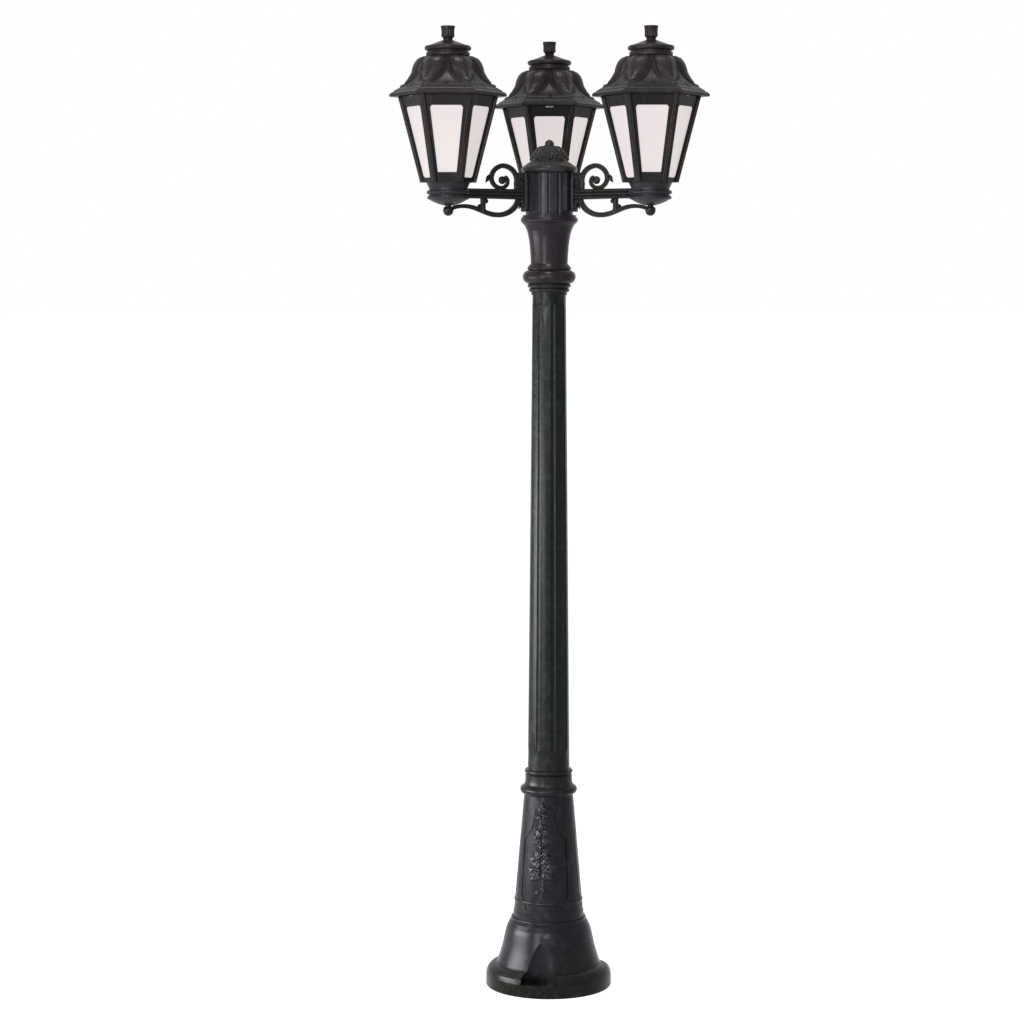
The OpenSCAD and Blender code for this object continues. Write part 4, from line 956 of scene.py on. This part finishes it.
# %% [markdown]
# ## Vine and bands on the foot
# A small vine with leaves and blossoms climbs the front panel in low relief, a little left of
# the middle. It is trim, so it is laid on the cone of the foot: each leaf is a closed lens whose
# base and tip are places on the cone, given by their offset round it and their height.

# %% Leaves on a cone
VINE_TURN = math.radians(270 - 14)
CONE_LEVELS = (156.0, high("base_pedestal"))
CONE_RADII = (69.7, 48.8)


def on_cone(across, up, lift=0.0):
    """Point of the foot's cone: across mm round it from the vine's middle line, up mm high."""
    across, up = np.asarray(across, float), np.asarray(up, float)
    r = np.interp(up, CONE_LEVELS, CONE_RADII) + lift
    a = VINE_TURN + across / r
    return np.stack([r * np.cos(a), r * np.sin(a), up + 0 * r], -1)


def vine_leaf(across, up, angle, length, width, lobes=4):
    """Leaf on the cone, from its foot along an angle from straight up, leaning to the sky."""
    c, s = math.cos(math.radians(angle)), math.sin(math.radians(angle))
    base = on_cone(across, up, 1.2 + 0.12 * length * c)
    tip = on_cone(across + length * s, up + length * c, 1.2 - 0.12 * length * c)
    side = on_cone(across + c, up - s) - on_cone(across, up)
    return leaf(base, tip, -side, width, 3.6, lobes=lobes)


def blossom(across, up, size):
    """Five petals round a button."""
    petals = [vine_leaf(across, up, 72 * i + 20, size, size * 0.72, lobes=1) for i in range(5)]
    return petals + [ball(on_cone(across, up, 0.6), [size * 0.2] * 3, columns=16, rows=10)]


def stem(path, radius=1.9, sides=10):
    """Round stem along a curve on the cone, its section turned with the path."""
    along = np.gradient(path, axis=0)
    along /= np.linalg.norm(along, axis=1, keepdims=True)
    out = path * [1, 1, 0]
    out /= np.linalg.norm(out, axis=1, keepdims=True)
    side = np.cross(along, out)
    f = np.linspace(0, 2 * np.pi, sides, endpoint=False)[None, :, None]
    fade = np.sin(np.linspace(0, np.pi, len(path))) ** 0.3 * radius
    ring = (out[:, None] * np.cos(f) + side[:, None] * np.sin(f)) * fade[:, None, None]
    return path[:, None] + ring, quads(len(path), sides)


print("the vine stands", round(math.degrees(VINE_TURN)) - 270, "degrees off the front")

# %% [markdown]
# The leaves were drawn first and measured against the panel after, so a table of levels carries
# the drawn heights to the measured ones. Two raised bands run round the foot below the panel.

# %% The vine and the bands
LEAVES_DRAWN = (
    (189, -3, -140, 15, 9), (193, 1, 130, 15, 9), (219, -2, -118, 25, 14), (221, 3, 112, 25, 14),
    (229, -1, -78, 29, 16), (234, 2, 76, 29, 16), (244, -2, -52, 30, 17), (247, 3, 55, 28, 16),
    (257, -1, -96, 27, 16), (260, 2, 94, 25, 15), (269, -2, -35, 22, 14), (272, 3, 38, 20, 12),
    (284, 4, 72, 17, 10), (290, 4, -64, 15, 9), (299, 3, 50, 15, 9), (307, 0, -98, 20, 12),
    (310, 2, 92, 19, 12), (320, -1, -50, 21, 12), (324, 2, 48, 19, 11), (334, 0, -18, 17, 10),
    (337, 1, 62, 14, 9), (355, -1, -82, 15, 9), (358, 1, 80, 15, 9), (366, -1, -40, 14, 9),
    (368, 1, 44, 13, 9), (373, 0, 4, 12, 8))
DRAWN = (186, 219, 272, 284, 307, 337, 374)
MEASURED = (203, 236, 272, 284, 303, 330, 372)
BLOSSOMS = ((-17, 242, 13), (16, 250, 13), (-14, 264, 13), (13, 268, 11), (-9, 310, 10),
            (9, 322, 9), (-1, 360, 8))
level = np.linspace(184, 374, 60)
vine = [stem(on_cone(5.5 * np.sin((level - 182) / 29), level, 0.4))]
for drawn, across, angle, length, width in LEAVES_DRAWN:
    vine.append(vine_leaf(across, np.interp(drawn, DRAWN, MEASURED), angle, length, width))
for across, level, size in BLOSSOMS:
    vine += blossom(across, level, size)
piece("foot_vine", [in_mm(sheet) for sheet in vine], "post", "post_resin", sharp=60, paint=VINE)


def foot_band(level, r, out, half):
    """Raised moulding round the foot: a low arch, half mm high to each side of its level."""
    t = np.radians(np.linspace(-90, 90, 9))
    arch = np.column_stack([r + out * np.cos(t), level + half * np.sin(t)])
    back = [(r - 2, level + half), (r - 2, level - half)]
    return turned(np.concatenate([back[1:], arch, back]))


FOOT_BANDS = ((177.0, 67.9, 1.5, 3.4), (138.5, 74.4, 1.5, 3.0))
piece("foot_bands", [foot_band(*row) for row in FOOT_BANDS], "post", "post_resin", sharp=50)

# %% [markdown]
# ## Collar
# The collar has a broad bead and a narrow ring with a hollow flare between them, and the foot of
# the shaft shows above. In the photograph both stand a little lower than on the CAD collar, so
# this piece carries them down and hides the foot's top edge in the bead.

# %% The collar
COLLAR_DROP = 11.3


def collar_outline():
    """Closed outline: bead, flare, waist, ring, a short length of shaft, and back down inside."""
    foot, top = low("pedestal_collar"), high("pedestal_collar")
    bead_z, ring_z = foot + 13.6 - COLLAR_DROP, top - 4 - COLLAR_DROP
    arc = np.radians(np.linspace(-90, 90, 17))
    bead = np.column_stack([49.0 + 8.5 * np.cos(arc), bead_z + 8.5 * np.sin(arc)])
    flare = curve((51.5, bead_z + 8.6), (48.4, bead_z + 9.8), (47.2, bead_z + 14),
                  (47.1, ring_z - 7), n=14)
    ring = np.column_stack([44.5 + 4.1 * np.cos(arc), ring_z + 4.1 * np.sin(arc)])
    shaft = [(42.2, ring_z + 4.6), (42.0, top - 0.3), (38, top - 0.3), (38, bead_z - 8.5)]
    start = [(44.0, bead_z - 8.5)]
    return np.concatenate([start, bead, flare, ring, shaft, start])


piece("collar_rings", [turned(collar_outline(), 128)], "post", "post_resin", ["pedestal_collar"])

# %% [markdown]
# ## Floor and background
# The picture has a pure white ground. The floor is pale and keeps a soft shadow, and Light Path
# lets the camera and mirror rays see floor and world as white, while the light that falls on
# the post stays at a plain level.

# %% Floor and world


def white_for_camera(shader, most):
    """Camera, glossy and transmission rays added, held at 1, times the most that it may be."""
    path = shader.tree.nodes.new("ShaderNodeLightPath")
    seen, mirrored, passed = (Value(shader, path.outputs[f"Is {kind} Ray"])
                              for kind in ("Camera", "Glossy", "Transmission"))
    return (seen + mirrored + passed).math("MINIMUM", 1) * most


WHITE = (1, 1, 1, 1)
FLOOR_HALF = 150.0
FLOOR_WHITE = 0.60
FLOOR_GLOW = 1.50
AMBIENT = 0.42
floor_mesh = bpy.data.meshes.new("floor")
floor_corners = np.array([(-1, -1, 0), (1, -1, 0), (1, 1, 0), (-1, 1, 0)]) * FLOOR_HALF
floor_mesh.from_pydata(floor_corners.tolist(), [], [(0, 1, 2, 3)])
floor = bpy.data.objects.new("floor", floor_mesh)
bpy.context.scene.collection.objects.link(floor)
pale = Finish("floor", Base_Color=(0.80, 0.80, 0.80, 1), Roughness=0.9, Specular_IOR_Level=0.0)
glow = pale.node("ShaderNodeEmission", inputs={"Color": WHITE, "Strength": FLOOR_GLOW})
mixed = pale.node("ShaderNodeMixShader", inputs={
    0: white_for_camera(pale, FLOOR_WHITE), 1: Value(pale, pale.surface.outputs[0]), 2: glow})
pale.feed(pale.tree.nodes["Material Output"], {"Surface": mixed})
floor_mesh.materials.append(pale.material)

world = bpy.data.worlds.new("studio")
world.use_nodes = True
bpy.context.scene.world = world
sky = Shader(world.node_tree)
strength = white_for_camera(sky, 1 - AMBIENT) + AMBIENT
sky.feed(sky.tree.nodes["Background"], {"Color": WHITE, "Strength": strength})
print("floor", 2 * FLOOR_HALF, "m wide")

# %% [markdown]
# ## Lamps
# A tall, narrow key lamp at the front left draws one bright line down the shaft. A low side lamp
# with a narrow spread lights the foot alone. A front lamp and a top lamp, both small, bring out
# the relief of roofs and hub.

# %% Lamps


def studio_lamp(name, place, aim, wide, tall, watts, spread=180):
    """Area lamp at a place, turned to look at its aim, with its light's spread in degrees."""
    data = bpy.data.lights.new(name, "AREA")
    data.shape = "RECTANGLE"
    data.size, data.size_y = wide, tall
    data.energy = watts
    data.spread = math.radians(spread)
    lamp = bpy.data.objects.new(name, data)
    lamp.location = place
    away = np.array(place, float) - np.array(aim, float)
    lamp.rotation_euler = (math.atan2(math.hypot(away[0], away[1]), away[2]), 0,
                           math.atan2(away[1], away[0]) + math.pi / 2)
    bpy.context.scene.collection.objects.link(lamp)


studio_lamp("key", (-1.9, -3.3, 1.5), (0, 0, 1.4), 0.40, 2.4, 110)
studio_lamp("side", (-2.4, -0.45, 0.75), (0, 0, 0.20), 1.9, 0.9, 38, spread=80)
studio_lamp("front", (-0.5, -6.5, 2.8), (0, 0, 1.6), 0.6, 1.2, 150)
studio_lamp("top", (-0.2, -1.1, 4.2), (0, 0, 1.7), 0.5, 0.5, 50)
view = bpy.context.scene.view_settings
view.view_transform = "Standard"
print("four lamps, view transform", view.view_transform)
